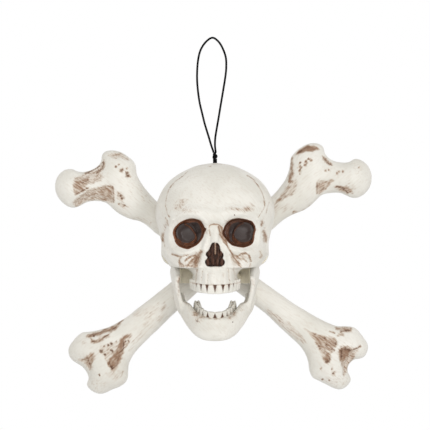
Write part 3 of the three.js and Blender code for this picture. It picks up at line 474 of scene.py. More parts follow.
WOBBLE = 0.0009
WOBBLE_WAVE = 0.0019
# Washes: outline and strength. The marked ones also paint shade.
TRACE_WASHES = {
    "upper_left": [
        ([(190, 345), (250, 318), (330, 290), (400, 255), (462, 175), (466, 250), (440, 300), (470, 340),
          (400, 390), (340, 400), (270, 445), (205, 500), (182, 430)], 0.46),
        ([(195, 365), (310, 352), (330, 400), (265, 455), (200, 492)], 0.28),
        ([(215, 520), (300, 455), (370, 428), (450, 410), (540, 400), (550, 470), (556, 565), (500, 565),
          (430, 550), (330, 553), (260, 585), (205, 605), (180, 560)], 0.5),
        ([(400, 430), (530, 405), (550, 540), (480, 520), (420, 480)], 0.24),
        ([(505, 125), (570, 104), (630, 120), (700, 185), (640, 176), (560, 162), (510, 155)], 0.44),
        ([(590, 560), (650, 562), (700, 605), (640, 615), (600, 600)], 0.36),
        ([(640, 350), (700, 340), (760, 540), (720, 545), (660, 430)], 0.13),
        ([(570, 470), (610, 465), (655, 505), (640, 550), (590, 540)], 0.4),
        # Painted shade: greys the side plane along the shaft.
        ([(740, 380), (800, 400), (900, 560), (860, 600), (780, 500)], 0.12),
        ([(560, 620), (700, 680), (850, 700), (900, 790), (780, 735), (640, 690)], 0.2),
    ],
    "upper_right": [
        ([(240, 178), (275, 136), (330, 100), (380, 84), (440, 100), (474, 130), (430, 142), (360, 152),
          (300, 167)], 0.85),
        ([(350, 90), (420, 100), (410, 140), (360, 150)], 0.5),
        ([(440, 425), (500, 405), (612, 404), (560, 455), (510, 510), (440, 532)], 0.54),
        ([(610, 450), (690, 455), (760, 490), (740, 525), (690, 520), (630, 490)], 0.62),
        ([(690, 440), (790, 430), (790, 520), (740, 530)], 0.22),
        ([(495, 185), (525, 200), (580, 255), (560, 272), (515, 250)], 0.72),
        # Partly painted shade: the bone's lateral side, shaded brownish, over its brown wash.
        ([(205, 200), (230, 215), (235, 370), (200, 430), (180, 400), (200, 300)], 0.66),
        ([(180, 430), (260, 400), (250, 520), (150, 580), (60, 620), (120, 520)], 0.42),
        ([(225, 705), (230, 680), (300, 678), (380, 635), (330, 682), (270, 700)], 0.6),
        ([(60, 560), (180, 600), (240, 650), (120, 690), (60, 700)], 0.22),
        ([(770, 260), (850, 260), (870, 320), (790, 340)], 0.2),
    ],
    "lower_left": [
        ([(215, 330), (330, 286), (420, 255), (500, 220), (565, 175), (500, 270), (430, 295), (350, 322),
          (260, 345)], 0.78),
        ([(270, 350), (310, 362), (380, 345), (440, 312), (420, 340), (350, 390), (290, 385)], 0.85),
        ([(400, 530), (430, 600), (460, 645), (500, 620), (540, 560), (570, 480), (560, 420), (620, 310),
          (540, 345), (520, 420), (470, 510), (430, 545)], 0.78),
        ([(350, 430), (400, 395), (520, 365), (640, 300), (620, 400), (560, 500), (480, 560),
          (400, 530)], 0.38),
        ([(150, 535), (235, 520), (270, 470), (320, 490), (290, 600), (262, 650), (235, 610),
          (195, 570)], 0.5),
        ([(225, 500), (290, 490), (275, 620), (245, 590)], 0.4),
        ([(400, 650), (560, 620), (560, 690), (500, 740), (430, 700)], 0.28),
        ([(190, 370), (240, 370), (240, 400), (195, 405)], 0.3),
        ([(640, 130), (900, 20), (980, 60), (960, 150), (760, 330), (620, 480), (640, 380),
          (760, 200)], 0.22),
        ([(260, 700), (420, 740), (400, 830), (300, 820)], 0.14),
    ],
    "lower_right": [
        ([(350, 205), (450, 255), (540, 275), (645, 300), (655, 370), (622, 420), (600, 440), (580, 525),
          (548, 535), (510, 480), (475, 375), (430, 310)], 0.5),
        ([(380, 220), (460, 265), (560, 290), (640, 310), (640, 380), (560, 380), (490, 390),
          (440, 300)], 0.34),
        ([(530, 470), (600, 430), (585, 520), (550, 530)], 0.5),
        ([(664, 405), (700, 380), (745, 380), (790, 405), (875, 368), (830, 450), (780, 530), (752, 600),
          (712, 650), (690, 560), (660, 470)], 0.5),
        ([(670, 410), (700, 388), (760, 390), (785, 412), (750, 450), (715, 500), (682, 510),
          (668, 470)], 0.9),
        ([(648, 203), (785, 203), (775, 252), (700, 242), (658, 230)], 0.66),
        ([(560, 170), (680, 190), (640, 215), (570, 200)], 0.2),
        ([(0, 60), (90, 60), (300, 230), (380, 330), (330, 350), (200, 250)], 0.3),
        ([(590, 590), (640, 600), (640, 650), (605, 640)], 0.45),
        ([(480, 640), (740, 660), (740, 720), (640, 740), (500, 690)], 0.16),
    ],
}
PIT_DARKS = {"upper_left": 0.52, "upper_right": 0.44, "lower_left": 0.66, "lower_right": 0.56}
# Dark places inside the washes: a line and its half width
TRACE_DARKS = {
    "upper_left": [
        ([(300, 300), (370, 265), (420, 235)], 7), ([(400, 290), (450, 250), (462, 200)], 8),
        ([(270, 385), (320, 362)], 7), ([(545, 420), (552, 500), (550, 560)], 5),
        ([(210, 490), (260, 462), (320, 430)], 6),
    ],
    "upper_right": [
        ([(275, 160), (330, 122), (380, 105)], 8), ([(445, 430), (446, 525)], 5),
        ([(505, 205), (545, 250), (570, 262)], 7), ([(620, 465), (670, 475), (720, 515)], 8),
        ([(470, 500), (520, 480)], 6),
    ],
    "lower_left": [
        ([(285, 372), (330, 377), (372, 350), (428, 325)], 8),
        ([(440, 285), (480, 262), (556, 182)], 6), ([(440, 560), (470, 625), (520, 570)], 9),
        ([(490, 580), (560, 460), (570, 350)], 6), ([(250, 330), (330, 305), (400, 285)], 7),
        ([(240, 520), (275, 600)], 6), ([(500, 520), (620, 380)], 4),
    ],
    "lower_right": [
        ([(692, 408), (735, 398), (765, 412)], 15), ([(692, 415), (694, 470)], 13),
        ([(665, 272), (705, 269)], 6), ([(585, 240), (630, 258)], 4), ([(690, 240), (770, 230)], 7),
        ([(780, 412), (865, 378)], 5), ([(440, 262), (480, 290), (520, 305)], 5),
        ([(540, 500), (575, 515), (585, 480)], 6),
    ],
}

# Cord, its loop's route across and above the crown
LOOP_ROUTE = [
    (0.0008, 0.0126), (0.0, 0.0195), (0.0003, 0.0283), (0.002, 0.0393), (0.0041, 0.0514), (0.0061, 0.0635),
    (0.009, 0.0807), (0.0116, 0.0968), (0.0127, 0.1079), (0.0121, 0.12), (0.008, 0.1311), (0.0031, 0.1382),
    (-0.0031, 0.1417), (-0.0101, 0.1372), (-0.0162, 0.1281), (-0.0192, 0.1159), (-0.0203, 0.0999),
    (-0.0197, 0.0858), (-0.0176, 0.0696), (-0.0146, 0.0565), (-0.0116, 0.0443), (-0.0076, 0.0312),
    (-0.0043, 0.0201), (-0.0017, 0.0126),
]


# Camera
def make_camera():
    data = bpy.data.cameras.new("camera")
    data.sensor_width = SENSOR * 1000
    data.lens = SENSOR * 1000 * CAMERA_DISTANCE / (PHOTO_SIZE * PIXEL)
    camera = bpy.data.objects.new("camera", data)
    bpy.context.scene.collection.objects.link(camera)
    across = (PHOTO_CENTRE[0] - CROWN_PIXEL[0]) * PIXEL
    down = (PHOTO_CENTRE[1] - CROWN_PIXEL[1]) * PIXEL
    camera.location = (SKULL[0] + across, SKULL[1] - CAMERA_DISTANCE, SKULL[2] - down)
    camera.rotation_euler = (math.radians(90), 0, 0)
    bpy.context.scene.camera = camera


make_camera()


# Curves through points
def spline(points, samples, closed=False):
    """Catmull-Rom points through rows of numbers."""
    rows = np.array(points, float)
    count = len(rows)
    made = []
    for i in range(count if closed else count - 1):
        if closed:
            a, b, c, d = (rows[(i + k) % count] for k in (-1, 0, 1, 2))
        else:
            a, b, c, d = (rows[min(max(i + k, 0), count - 1)] for k in (-1, 0, 1, 2))
        square, cube = 2 * a - 5 * b + 4 * c - d, 3 * b - a - 3 * c + d
        for t in np.linspace(0, 1, samples, endpoint=False):
            made.append(0.5 * (2 * b + (c - a) * t + square * t**2 + cube * t**3))
    if not closed:
        made.append(rows[-1])
    return np.array(made)


def smooth_interpolation(xs, ys, at):
    """Cubic interpolation that keeps to its table, with flat ends."""
    xs, ys = np.array(xs, float), np.array(ys, float)
    slope = np.diff(ys) / np.diff(xs)
    tangent = np.zeros_like(ys)
    inner = slope[:-1] * slope[1:] > 0
    harmonic = 2 * slope[:-1] * slope[1:] / np.where(inner, slope[:-1] + slope[1:], 1)
    tangent[1:-1] = np.where(inner, harmonic, 0)
    tangent[0], tangent[-1] = slope[0], slope[-1]
    at = np.clip(at, xs[0], xs[-1])
    i = np.clip(np.searchsorted(xs, at, side="right") - 1, 0, len(xs) - 2)
    h = xs[i + 1] - xs[i]
    t = (at - xs[i]) / h
    return (
        ys[i] * (1 + 2 * t) * (1 - t) ** 2
        + tangent[i] * h * t * (1 - t) ** 2
        + ys[i + 1] * t * t * (3 - 2 * t)
        + tangent[i + 1] * h * t * t * (t - 1)
    )


# The cord loop
def tube(points, radius, closed=False):
    """A laid cord of three strands along points: vertices and quads."""
    points = np.array(points, float)
    ahead, behind = np.roll(points, -1, axis=0), np.roll(points, 1, axis=0)
    if not closed:
        ahead[-1], behind[0] = points[-1], points[0]
    along = (ahead - behind) / np.linalg.norm(ahead - behind, axis=1)[:, None]
    run = np.concatenate([[0], np.cumsum(np.linalg.norm(np.diff(points, axis=0), axis=1))])
    side = np.cross(along[0], (0.31, 0.9, 0.3))
    sides = []
    for direction in along:
        side = side - direction * (side @ direction)
        side = side / np.linalg.norm(side)
        sides.append(side)
    sides = np.array(sides)
    others = np.cross(along, sides)
    turn = np.linspace(0, 2 * math.pi, CORD_SIDES, endpoint=False)
    phase = turn[None, :] - 2 * math.pi * run[:, None] / CORD_LAY
    reach = radius * (1 - STRAND_DIP * (1 - np.abs(np.cos(1.5 * phase))))
    rings = points[:, None] + reach[:, :, None] * (
        np.cos(turn)[None, :, None] * sides[:, None] + np.sin(turn)[None, :, None] * others[:, None]
    )
    count = len(points)
    quads = []
    for i in range(count if closed else count - 1):
        a = i * CORD_SIDES + np.arange(CORD_SIDES)
        b = i * CORD_SIDES + (np.arange(CORD_SIDES) + 1) % CORD_SIDES
        c, d = ((i + 1) % count - i) * CORD_SIDES + np.array([b, a])
        quads.append(np.stack([a, b, c, d], axis=1))
    vertices = rings.reshape(-1, 3)
    if not closed:
        first, last = len(vertices), len(vertices) + 1
        vertices = np.concatenate([vertices, points[:1], points[-1:]])
        for i in range(0, CORD_SIDES, 2):
            three = np.array([i, (i + 1) % CORD_SIDES, (i + 2) % CORD_SIDES])
            quads.append(np.array([[first, *three[::-1]], [last, *((count - 1) * CORD_SIDES + three)]]))
    return vertices, np.concatenate(quads)


loop_line = spline([(x, CORD_BEHIND, z) for x, z in LOOP_ROUTE], CORD_SAMPLES) + SKULL
into_knot = np.array([0, 0, -CORD_RADIUS])
loop_mesh = tube([loop_line[0] + into_knot, *loop_line, loop_line[-1] + into_knot], FULLNESS * CORD_RADIUS)


# Fields: arrays of distances on a grid, negative inside
class Grid:
    def __init__(self, low, high, step):
        self.low = np.array(low, float)
        self.step = step
        counts = np.ceil((np.array(high) - self.low) / step).astype(int) + 1
        x, y, z = ((self.low[k] + step * np.arange(counts[k])).astype(np.float32) for k in range(3))
        self.x, self.y, self.z = x[:, None, None], y[None, :, None], z[None, None, :]
        self.counts = counts

    def full(self, value):
        return np.broadcast_to(value, tuple(self.counts)).astype(np.float32)


def unite(a, b, k):
    """Joins two fields with a fillet of about k."""
    h = np.clip(0.5 + 0.5 * (b - a) / k, 0, 1)
    return b + (a - b) * h - k * h * (1 - h)


def cut(a, b, k):
    return -unite(-a, b, k)


def meet(a, b, k):
    return -unite(-a, -b, k)


def scaled(values, step):
    """Turns any smooth field into one of distances near its zero surface."""
    parts = np.gradient(values, step)
    size = np.sqrt(sum(part * part for part in parts))
    return values / np.maximum(size, 0.25)


def capsule(x, y, z, a, b, radius):
    """Distance to a round-ended rod from a to b."""
    a, b = np.array(a, float), np.array(b, float)
    along = b - a
    t = ((x - a[0]) * along[0] + (y - a[1]) * along[1] + (z - a[2]) * along[2]) / max(along @ along, 1e-12)
    t = np.clip(t, 0, 1)
    dx, dy, dz = x - a[0] - t * along[0], y - a[1] - t * along[1], z - a[2] - t * along[2]
    return np.sqrt(dx * dx + dy * dy + dz * dz) - radius


def post(grid, place, front, rear, radius):
    """A cylinder along the front-to-back axis, on the whole grid."""
    away = np.sqrt((grid.x - place[0]) ** 2 + (grid.z - place[1]) ** 2) - radius
    return grid.full(np.maximum(away, np.maximum(front - grid.y, grid.y - rear)))


def outline_distance(x, z, points):
    """Signed distance from places in a plane to a closed outline."""
    shape = np.broadcast(x, z).shape
    px = np.broadcast_to(x, shape).ravel().astype(float)
    pz = np.broadcast_to(z, shape).ravel().astype(float)
    nearest = np.full(len(px), 1e9)
    inside = np.zeros(len(px), bool)
    for (ax, az), (bx, bz) in zip(points, np.roll(points, -1, axis=0)):
        ex, ez = bx - ax, bz - az
        t = np.clip(((px - ax) * ex + (pz - az) * ez) / max(ex * ex + ez * ez, 1e-18), 0, 1)
        nearest = np.minimum(nearest, (px - ax - t * ex) ** 2 + (pz - az - t * ez) ** 2)
        spans = (az > pz) != (bz > pz)
        crossing = ax + (pz - az) * ex / (ez if abs(ez) > 1e-12 else 1e-12)
        inside ^= spans & (px < crossing)
    distance = np.sqrt(nearest)
    return np.where(inside, -distance, distance).reshape(shape).astype(np.float32)


def line_distance(x, z, points):
    """Distance from places in a plane to an open line."""
    nearest = np.full(np.broadcast(x, z).shape, 1e9)
    for (ax, az), (bx, bz) in zip(points[:-1], points[1:]):
        ex, ez = bx - ax, bz - az
        t = np.clip(((x - ax) * ex + (z - az) * ez) / max(ex * ex + ez * ez, 1e-18), 0, 1)
        nearest = np.minimum(nearest, (x - ax - t * ex) ** 2 + (z - az - t * ez) ** 2)
    return np.sqrt(nearest)


def blurred(values, radius, step):
    """Two box blurs along each axis."""
    reach = max(1, int(round(radius / step)))
    made = values
    for axis in range(3):
        for _ in range(2):
            pad = [(0, 0)] * 3
            pad[axis] = (reach + 1, reach)
            total = np.cumsum(np.pad(made, pad, mode="edge"), axis=axis, dtype=np.float64)
            width = 2 * reach + 1
            high = np.take(total, np.arange(width, total.shape[axis]), axis=axis)
            low = np.take(total, np.arange(total.shape[axis] - width), axis=axis)
            made = ((high - low) / width).astype(np.float32)
    return made


def sample(values, grid, places):
    """Trilinear values of a field at places."""
    local = (places - grid.low) / grid.step
    base = np.clip(np.floor(local).astype(int), 0, np.array(values.shape) - 2)
    t = np.clip(local - base, 0, 1)
    total = np.zeros(len(places))
    for corner in np.ndindex(2, 2, 2):
        weight = np.prod(np.where(corner, t, 1 - t), axis=1)
        total += weight * values[tuple((base + corner).T)]
    return total


def skin(values, grid):
    """The closed surface where a field is zero: vertices, and quads that face outwards."""
    inside = values < 0
    cells_per_axis = np.array(inside.shape) - 1
    corners = np.zeros(cells_per_axis, np.int8)
    for corner in np.ndindex(2, 2, 2):
        corners += inside[tuple(slice(i, i + count) for i, count in zip(corner, cells_per_axis))]
    mixed = (corners > 0) & (corners < 8)
    numbers = np.full(mixed.shape, -1, np.int64)
    numbers[mixed] = np.arange(mixed.sum())
    cells = np.argwhere(mixed)
    sums = np.zeros((len(cells), 3))
    counts = np.zeros(len(cells))
    for axis in range(3):
        first, second = (a for a in range(3) if a != axis)
        for i, j in np.ndindex(2, 2):
            start = cells.copy()
            start[:, first] += i
            start[:, second] += j
            end = start.copy()
            end[:, axis] += 1
            a, b = values[tuple(start.T)], values[tuple(end.T)]
            crossing = (a < 0) != (b < 0)
            point = start[crossing].astype(float)
            point[:, axis] += a[crossing] / (a[crossing] - b[crossing])
            sums[crossing] += point
            counts[crossing] += 1
    vertices = grid.low + grid.step * sums / counts[:, None]
    quads = []
    for axis in range(3):
        first, second = (a for a in range(3) if a != axis)
        near = np.take(inside, np.arange(inside.shape[axis] - 1), axis=axis)
        far = np.take(inside, np.arange(1, inside.shape[axis]), axis=axis)
        edges = np.argwhere(near != far)
        whole = np.all([edges[:, a] >= 1 for a in (first, second)], axis=0)
        whole &= np.all([edges[:, a] <= inside.shape[a] - 2 for a in (first, second)], axis=0)
        edges = edges[whole]
        ring = []
        for i, j in ((0, 0), (1, 0), (1, 1), (0, 1)):
            cell = edges.copy()
            cell[:, first] -= i
            cell[:, second] -= j
            ring.append(numbers[tuple(cell.T)])
        ring = np.stack(ring, axis=1)
        outward = near[tuple(edges.T)] != (axis == 1)
        ring[~outward] = ring[~outward][:, ::-1]
        quads.append(ring)
    return vertices, np.concatenate(quads)


def surface(values, grid):
    """The skin of a field, with its vertices moved onto the zero surface."""
    vertices, quads = skin(values, grid)
    limit = 0.3 * grid.step
    for _ in range(2):
        value = sample(values, grid, vertices)
        slope = np.zeros((len(vertices), 3))
        for axis, shift in enumerate(np.eye(3) * grid.step / 2):
            ahead, behind = sample(values, grid, vertices + shift), sample(values, grid, vertices - shift)
            slope[:, axis] = (ahead - behind) / grid.step
        size = np.maximum((slope * slope).sum(1), 0.2)
        move = -(value / size)[:, None] * slope
        vertices = vertices + np.clip(move, -limit, limit)
    return vertices, quads


def creases(form, grid, vertices, reach=CREASE_REACH):
    """How far vertices lie in a crease of a form: about 0 on a flat face."""
    return -sample(blurred(form, reach, grid.step), grid, vertices) / reach


def outer_skin(form, grid, vertices):
    """1 on the outside of a form and 0 inside its wall."""
    return ramp(sample(form, grid, vertices), *SKIN_DEPTHS)


def make_piece(name, vertices, quads, body, slot, nodes, attributes=None):
    """A mesh object that rides on a body and stands for CAD nodes."""
    data = bpy.data.meshes.new(name)
    data.vertices.add(len(vertices))
    data.vertices.foreach_set("co", np.asarray(vertices, np.float32).ravel())
    data.loops.add(len(quads) * 4)
    data.loops.foreach_set("vertex_index", np.asarray(quads, np.int32).ravel())
    data.polygons.add(len(quads))
    data.polygons.foreach_set("loop_start", np.arange(0, len(quads) * 4, 4, dtype=np.int32))
    data.update(calc_edges=True)
    data.validate()
    data.shade_smooth()
    for key, values in (attributes or {}).items():
        attribute = data.attributes.new(key, "FLOAT", "POINT")
        attribute.data.foreach_set("value", np.asarray(values, np.float32))
    piece = bpy.data.objects.new(name, data)
    bpy.context.scene.collection.objects.link(piece)
    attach(piece, body)
    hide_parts(*nodes)
    return piece


def ramp(values, low, high):
    t = np.clip((values - low) / (high - low), 0, 1)
    return t * t * (3 - 2 * t)


# Skull halves
def half_field(x, y, drop, shares, depth, roundness, forms):
    """Field of a skull half: rounded sections whose width and depth follow the tables."""
    table = np.array(shares)
    levels = np.sqrt(table[:, 0] * FACE_HEIGHT)
    root = np.sqrt(np.abs(drop))
    width = smooth_interpolation(levels, table[:, 1] * SKULL_WIDTH / 2, root)
    deep = smooth_interpolation(levels, table[:, 2] * depth, root)
    aspect = width / np.maximum(deep + forms, 1e-5)
    aspect = np.where(width < 1e-6, 1.0, aspect)
    section = (np.abs(x) ** roundness + np.abs(y * aspect) ** roundness) ** (1 / roundness)
    return section - np.where(drop < 0, -width, width)


def face_forms(x, drop):
    rise = 0
    for across, down, spread_across, spread_down, height in FORMS:
        dx = (np.abs(x) - across) / spread_across
        dz = (drop - down) / spread_down
        rise = rise + height * np.exp(-dx * dx - dz * dz)
    return rise


def in_photo(points, samples=5, closed=False):
    """A smooth line through pixels of the photograph, across the skull and below its crown."""
    return (spline(points, samples, closed) - CROWN_PIXEL) * PIXEL


def relief(x, drop, features):
    rise = np.zeros(np.broadcast(x, drop).shape)
    for points, width, height in features:
        away = line_distance(x, drop, in_photo(points))
        rise = rise + height * np.exp(-((away / (width * PIXEL)) ** 2))
    return rise


socket_lines = [in_photo(points, 4, closed=True) for points in PIXEL_SOCKETS]
nose_line = in_photo(PIXEL_NOSE, 4, closed=True)
screw_places = {
    name: ((low.x + high.x) / 2 - SKULL[0], (low.z + high.z) / 2 - SKULL[2])
    for name, (low, high) in ((n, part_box(n)) for n in frame["nodes"] if "_screw_" in n)
}


def gum_rise(x):
    return GUM_RISE * (x / GUM_HALF) ** 2


def tooth_row(arch, teeth):
    """Both sides' teeth along an arch that starts at the middle: place, direction and sizes."""
    steps = np.linalg.norm(np.diff(arch, axis=0), axis=1)
    run = np.concatenate([[0], np.cumsum(steps)])
    rows = []
    start = 0
    for width, crown, neck, thick in teeth:
        at = start + width / 2
        place = np.array([np.interp(at, run, arch[:, k]) for k in (0, 1)])
        ahead = np.array([np.interp(at + width / 4, run, arch[:, k]) for k in (0, 1)])
        behind = np.array([np.interp(max(at - width / 4, 0), run, arch[:, k]) for k in (0, 1)])
        along = (ahead - behind) / np.linalg.norm(ahead - behind)
        for side in (-1, 1):
            rows.append((place * (side, 1), along * (side, 1), width - TOOTH_SPACING, crown, neck, thick))
        start += width
    return rows


def tooth_field(x, y, up, row, root):
    """Distance to a tooth: a rounded wedge that is narrow at its neck."""
    place, along, width, crown, neck, thick = row
    dx, dy = x - place[0], y - place[1]
    share = np.clip(up / crown, 0, 1)
    across = np.abs(dx * along[0] + dy * along[1])
    out = dy * along[0] - dx * along[1]
    if thick > LEAST_MOLAR:
        crown = crown - CUSP * (np.exp(-((across / CUSP) ** 2)) + np.exp(-((out / CUSP) ** 2)))
    out = np.abs(out)
    half = width / 2 * (neck + (1 - neck) * (1 - (1 - share) ** TOOTH_FLARE))
    thick = thick / 2 * (1 - 0.3 * share**2 - 0.18 * np.minimum(across / half, 1.2) ** 2)
    height = np.abs(up - (crown - root) / 2) - (crown + root) / 2
    parts = [part + TOOTH_ROUNDING for part in (across - half, out - thick, height)]
    outside = np.sqrt(sum(np.maximum(part, 0) ** 2 for part in parts))
    return outside + np.minimum(np.maximum(np.maximum(*parts[:2]), parts[2]), 0) - TOOTH_ROUNDING


def make_teeth(arch, rows, root, lift, gum, sign):
    """Teeth with a thin dark web between them, on a grid of their own. Upper ones have the sign -1."""
    crown = max(row[3] for row in rows)
    ends = sorted((gum - sign * root, gum + sign * crown))
    reach = np.abs(arch).max(axis=0) + LEAST_MOLAR
    rear = arch[:, 1].max() + LEAST_MOLAR
    top = ends[1] + (GUM_RISE if sign < 0 else 0)
    grid = Grid((-reach[0], -reach[1], ends[0] - 0.001), (reach[0], rear, top + 0.001), TOOTH_STEP)
    x, y = grid.x[:, :, 0], grid.y[:, :, 0]
    run = np.concatenate([[0], np.cumsum(np.linalg.norm(np.diff(arch, axis=0), axis=1))])
    kept = arch[run < sum(row[2] for row in rows) / 2 - 0.002]
    away = line_distance(x, y, np.concatenate([kept[::-1] * (-1, 1), kept[1:]]))[:, :, None]
    share = np.clip(np.abs(x) / reach[0], 0, 1)[:, :, None]
    low = crown * (0.90 - 0.22 * share)
    bend = gum_rise(grid.x) if sign < 0 else 0
    up = (grid.z - gum - bend) * sign
    web = grid.full(np.maximum(away - WEB_HALF, np.abs(up - (low - root) / 2) - (low + root) / 2))
    crowns = grid.full(1.0)
    for row in rows:
        crowns = np.minimum(crowns, tooth_field(grid.x, grid.y, up, row, root))
    made = unite(web, crowns, SHARP)
    vertices, quads = surface(made, grid)
    off = sample(crowns, grid, vertices)
    up = (vertices[:, 2] - gum - (gum_rise(vertices[:, 0]) if sign < 0 else 0)) * sign
    deep = ramp(off, 0.0001, 0.0005) * ramp(up, -0.001, 0.0)
    neck = np.exp(-(((up - lift) / TOOTH_ROUNDING) ** 2))
    crease = ramp(creases(made, grid, vertices, TOOTH_ROUNDING), 0.12, 0.5)
    return vertices, quads, np.maximum(NECK_WASH * neck, crease), deep


def slot_field(grid, side, front, rear):
    """The space in which a ramus passes into the skull."""
    inner = EAR_INNER - RAMUS_THICKNESS / 2
    outer = RAMUS_OUTER - RAMUS[0][0] * JAW_REACH * RAMUS_FLARE + SLOT_CLEARANCE
    flat = np.abs(grid.x * side - (inner + outer) / 2) - (outer - inner) / 2
    up = grid.z + HINGE_DROP + SLOT_BELOW_HINGE
    return np.maximum(np.maximum(flat, np.maximum(front - grid.y, grid.y - rear)), up)


def upper_arch():
    """The line of the upper teeth, from the middle back along one side."""
    turn = np.linspace(math.pi / 2, 0, 121)
    power = 2 / FACE_ROUNDNESS
    width = FACE_SHARES[-1][1] * SKULL_WIDTH / 2 - WALL / 2 - UPPER_INSET
    depth = FACE_SHARES[-1][2] * FACE_DEPTH - WALL / 2 - UPPER_INSET
    return np.stack([width * np.cos(turn) ** power, -depth * np.sin(turn) ** power], axis=1)


def make_face():
    grid = Grid(*FACE_GRID)
    drop = -grid.z
    x2, z2 = grid.x[:, 0, :], grid.z[:, 0, :]
    sockets = np.minimum(*(outline_distance(x2, -z2, line) for line in socket_lines))[:, None, :]
    nose = outline_distance(x2, -z2, nose_line)[:, None, :]
    carved = relief(x2, -z2, PIXEL_RIDGES + PIXEL_GROOVES)[:, None, :]
    carved = carved + NOSE_LIP * np.exp(-(((nose - NOSE_LIP_AWAY) / NOSE_LIP_SPREAD) ** 2))
    half = half_field(grid.x, grid.y, drop, FACE_SHARES, FACE_DEPTH, FACE_ROUNDNESS, face_forms(grid.x, drop))
    base = scaled(half, grid.step) - carved * ramp(-grid.y, *CARVED_FROM)
    hollow = base + WALL
    bottom = drop - FACE_HEIGHT + gum_rise(np.clip(grid.x, -GUM_HALF, GUM_HALF))
    base = meet(base, grid.full(bottom), GUM_EDGE)
    shell = meet(base, -hollow, EASED)
    pocket_rear = -FACE_DEPTH + NOSE_DEPTH
    socket_wall = np.maximum(sockets - WALL, grid.y + SOCKET_FLOOR)
    nose_wall = np.maximum(nose - WALL, grid.y - pocket_rear - WALL)
    for wall in (socket_wall, nose_wall):
        shell = unite(shell, meet(grid.full(wall), base, EASED), SOFT)
    start = FACE_DEPTH * TAPER_SHARE
    taper = np.clip((grid.y + start) / (start - SOCKET_FLOOR), 0, 1)
    holes = np.maximum(sockets + SOCKET_TAPER * taper, grid.y + SOCKET_FLOOR - GAP)
    pocket = np.maximum(nose + NOSE_INSET, grid.y - pocket_rear)
    solid = base
    for opening, brim in ((holes, SOCKET_BRIM), (pocket, NOSE_BRIM)):
        shell = cut(shell, grid.full(opening), brim)
        solid = cut(solid, grid.full(opening), brim)
    rods = []
    for points, radius in PIXEL_NOSE_FOLDS:
        line = in_photo(points, 3)
        for (ax, ad), (bx, bd) in zip(line[:-1], line[1:]):
            ends = (ax, -FOLDS_FORWARD, -ad), (bx, -FOLDS_FORWARD, -bd)
            rods.append(capsule(grid.x, grid.y, grid.z, *ends, radius))
    folds = meet(grid.full(np.minimum.reduce(rods)), grid.full(nose - NOSE_BRIM), EASED)
    shell = unite(shell, folds, SOFT)
    for side in (-1, 1):
        shell = cut(shell, grid.full(slot_field(grid, side, -SLOT_REACH, BEYOND)), CRISP)
    near, far = SWEEP_ACROSS
    sweep = np.abs(np.abs(grid.x) - (near + far) / 2) - (far - near) / 2
    sweep = np.maximum(sweep, np.maximum(-SWEEP_FORWARD - grid.y, SWEEP_DROP - drop))
    shell = cut(shell, grid.full(sweep), CRISP)
    for name, place in screw_places.items():
        if name.startswith("shell"):
            boss = np.maximum(post(grid, place, -BOSS_REACH, 0.0, BOSS_RADIUS), base)
            shell = unite(shell, boss, SOFT)
            shell = cut(shell, post(grid, place, -SCREW_BITE - GAP, BEYOND, PILOT_RADIUS), SHARP)
    shell = np.maximum(shell, grid.y + GAP / 2)
    vertices, quads = surface(shell, grid)
    cavity = creases(solid, grid, vertices, FACE_CREASE_REACH)
    return vertices, quads, cavity, outer_skin(base, grid, vertices)


def make_rear():
    grid = Grid(*REAR_GRID)
    drop = -grid.z
    half = half_field(grid.x, grid.y, drop, REAR_SHARES, REAR_DEPTH, REAR_ROUNDNESS, 0.0)
    base = scaled(half, grid.step)
    hollow = base + WALL
    base = meet(base, grid.full(drop - FACE_HEIGHT), SOFT)
    shell = meet(base, -hollow, EASED)
    for name, place in screw_places.items():
        low, high = (corner.y - SKULL[1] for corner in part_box(name))
        if name.startswith("shell"):
            seat = high - HEAD_HEIGHT - GAP
            boss = np.maximum(post(grid, place, 0.0, REAR_DEPTH, BOSS_RADIUS), base)
            shell = unite(shell, boss, SOFT)
            shell = cut(shell, post(grid, place, -BEYOND, REAR_DEPTH, SHANK_RADIUS), SHARP)
            shell = cut(shell, post(grid, place, seat, REAR_DEPTH + BEYOND, SINK_RADIUS), SHARP)
        elif name.startswith("bone"):
            boss = post(grid, place, low - POST_BOTTOM, REAR_DEPTH + POST_RISE, BOSS_RADIUS)
            shell = unite(shell, np.minimum(boss, POST_BLEND), SOFT)
            shell = cut(shell, post(grid, place, low - GAP, REAR_DEPTH + 2 * BEYOND, PILOT_RADIUS), SHARP)
    away = np.sqrt((grid.y - HINGE_BEHIND) ** 2 + (grid.z + HINGE_DROP) ** 2)
    forward, down = RAMUS[1]
    y, z = -forward * JAW_REACH, down * JAW_DROP
    stop = HINGE_BEHIND + y * math.cos(OPEN_ANGLE) + z * math.sin(OPEN_ANGLE) + GAP
    for side in (-1, 1):
        across = grid.x * side
        start = EAR_INNER + EAR_THICKNESS + GAP
        boss = np.maximum(np.maximum(away - HINGE_BOSS_RADIUS, start - across), base)
        shell = unite(shell, boss, SOFT)
        pilot = np.maximum(away - PILOT_RADIUS, np.abs(across - EAR_INNER - HINGE_BITE) - HINGE_BITE_HALF)
        shell = cut(shell, grid.full(pilot), SHARP)
        shell = cut(shell, grid.full(slot_field(grid, side, -BEYOND, stop)), CRISP)
    cord_hole = np.sqrt(grid.x**2 + (grid.y - CORD_BEHIND) ** 2) - CORD_HOLE
    cord_hole = np.maximum(cord_hole, -BEYOND - grid.z)
    shell = cut(shell, grid.full(cord_hole), CRISP)
    shell = np.maximum(shell, GAP / 2 - grid.y)
    vertices, quads = surface(shell, grid)
    return vertices, quads, creases(base, grid, vertices), outer_skin(base, grid, vertices)


# Lower jaw
def jaw_edge():
    right = np.array(JAW_EDGE) * (JAW_HALF_WIDTH, -JAW_REACH, -JAW_DROP)
    return spline(np.concatenate([right, right[::-1] * (-1, 1, 1)]), 10)


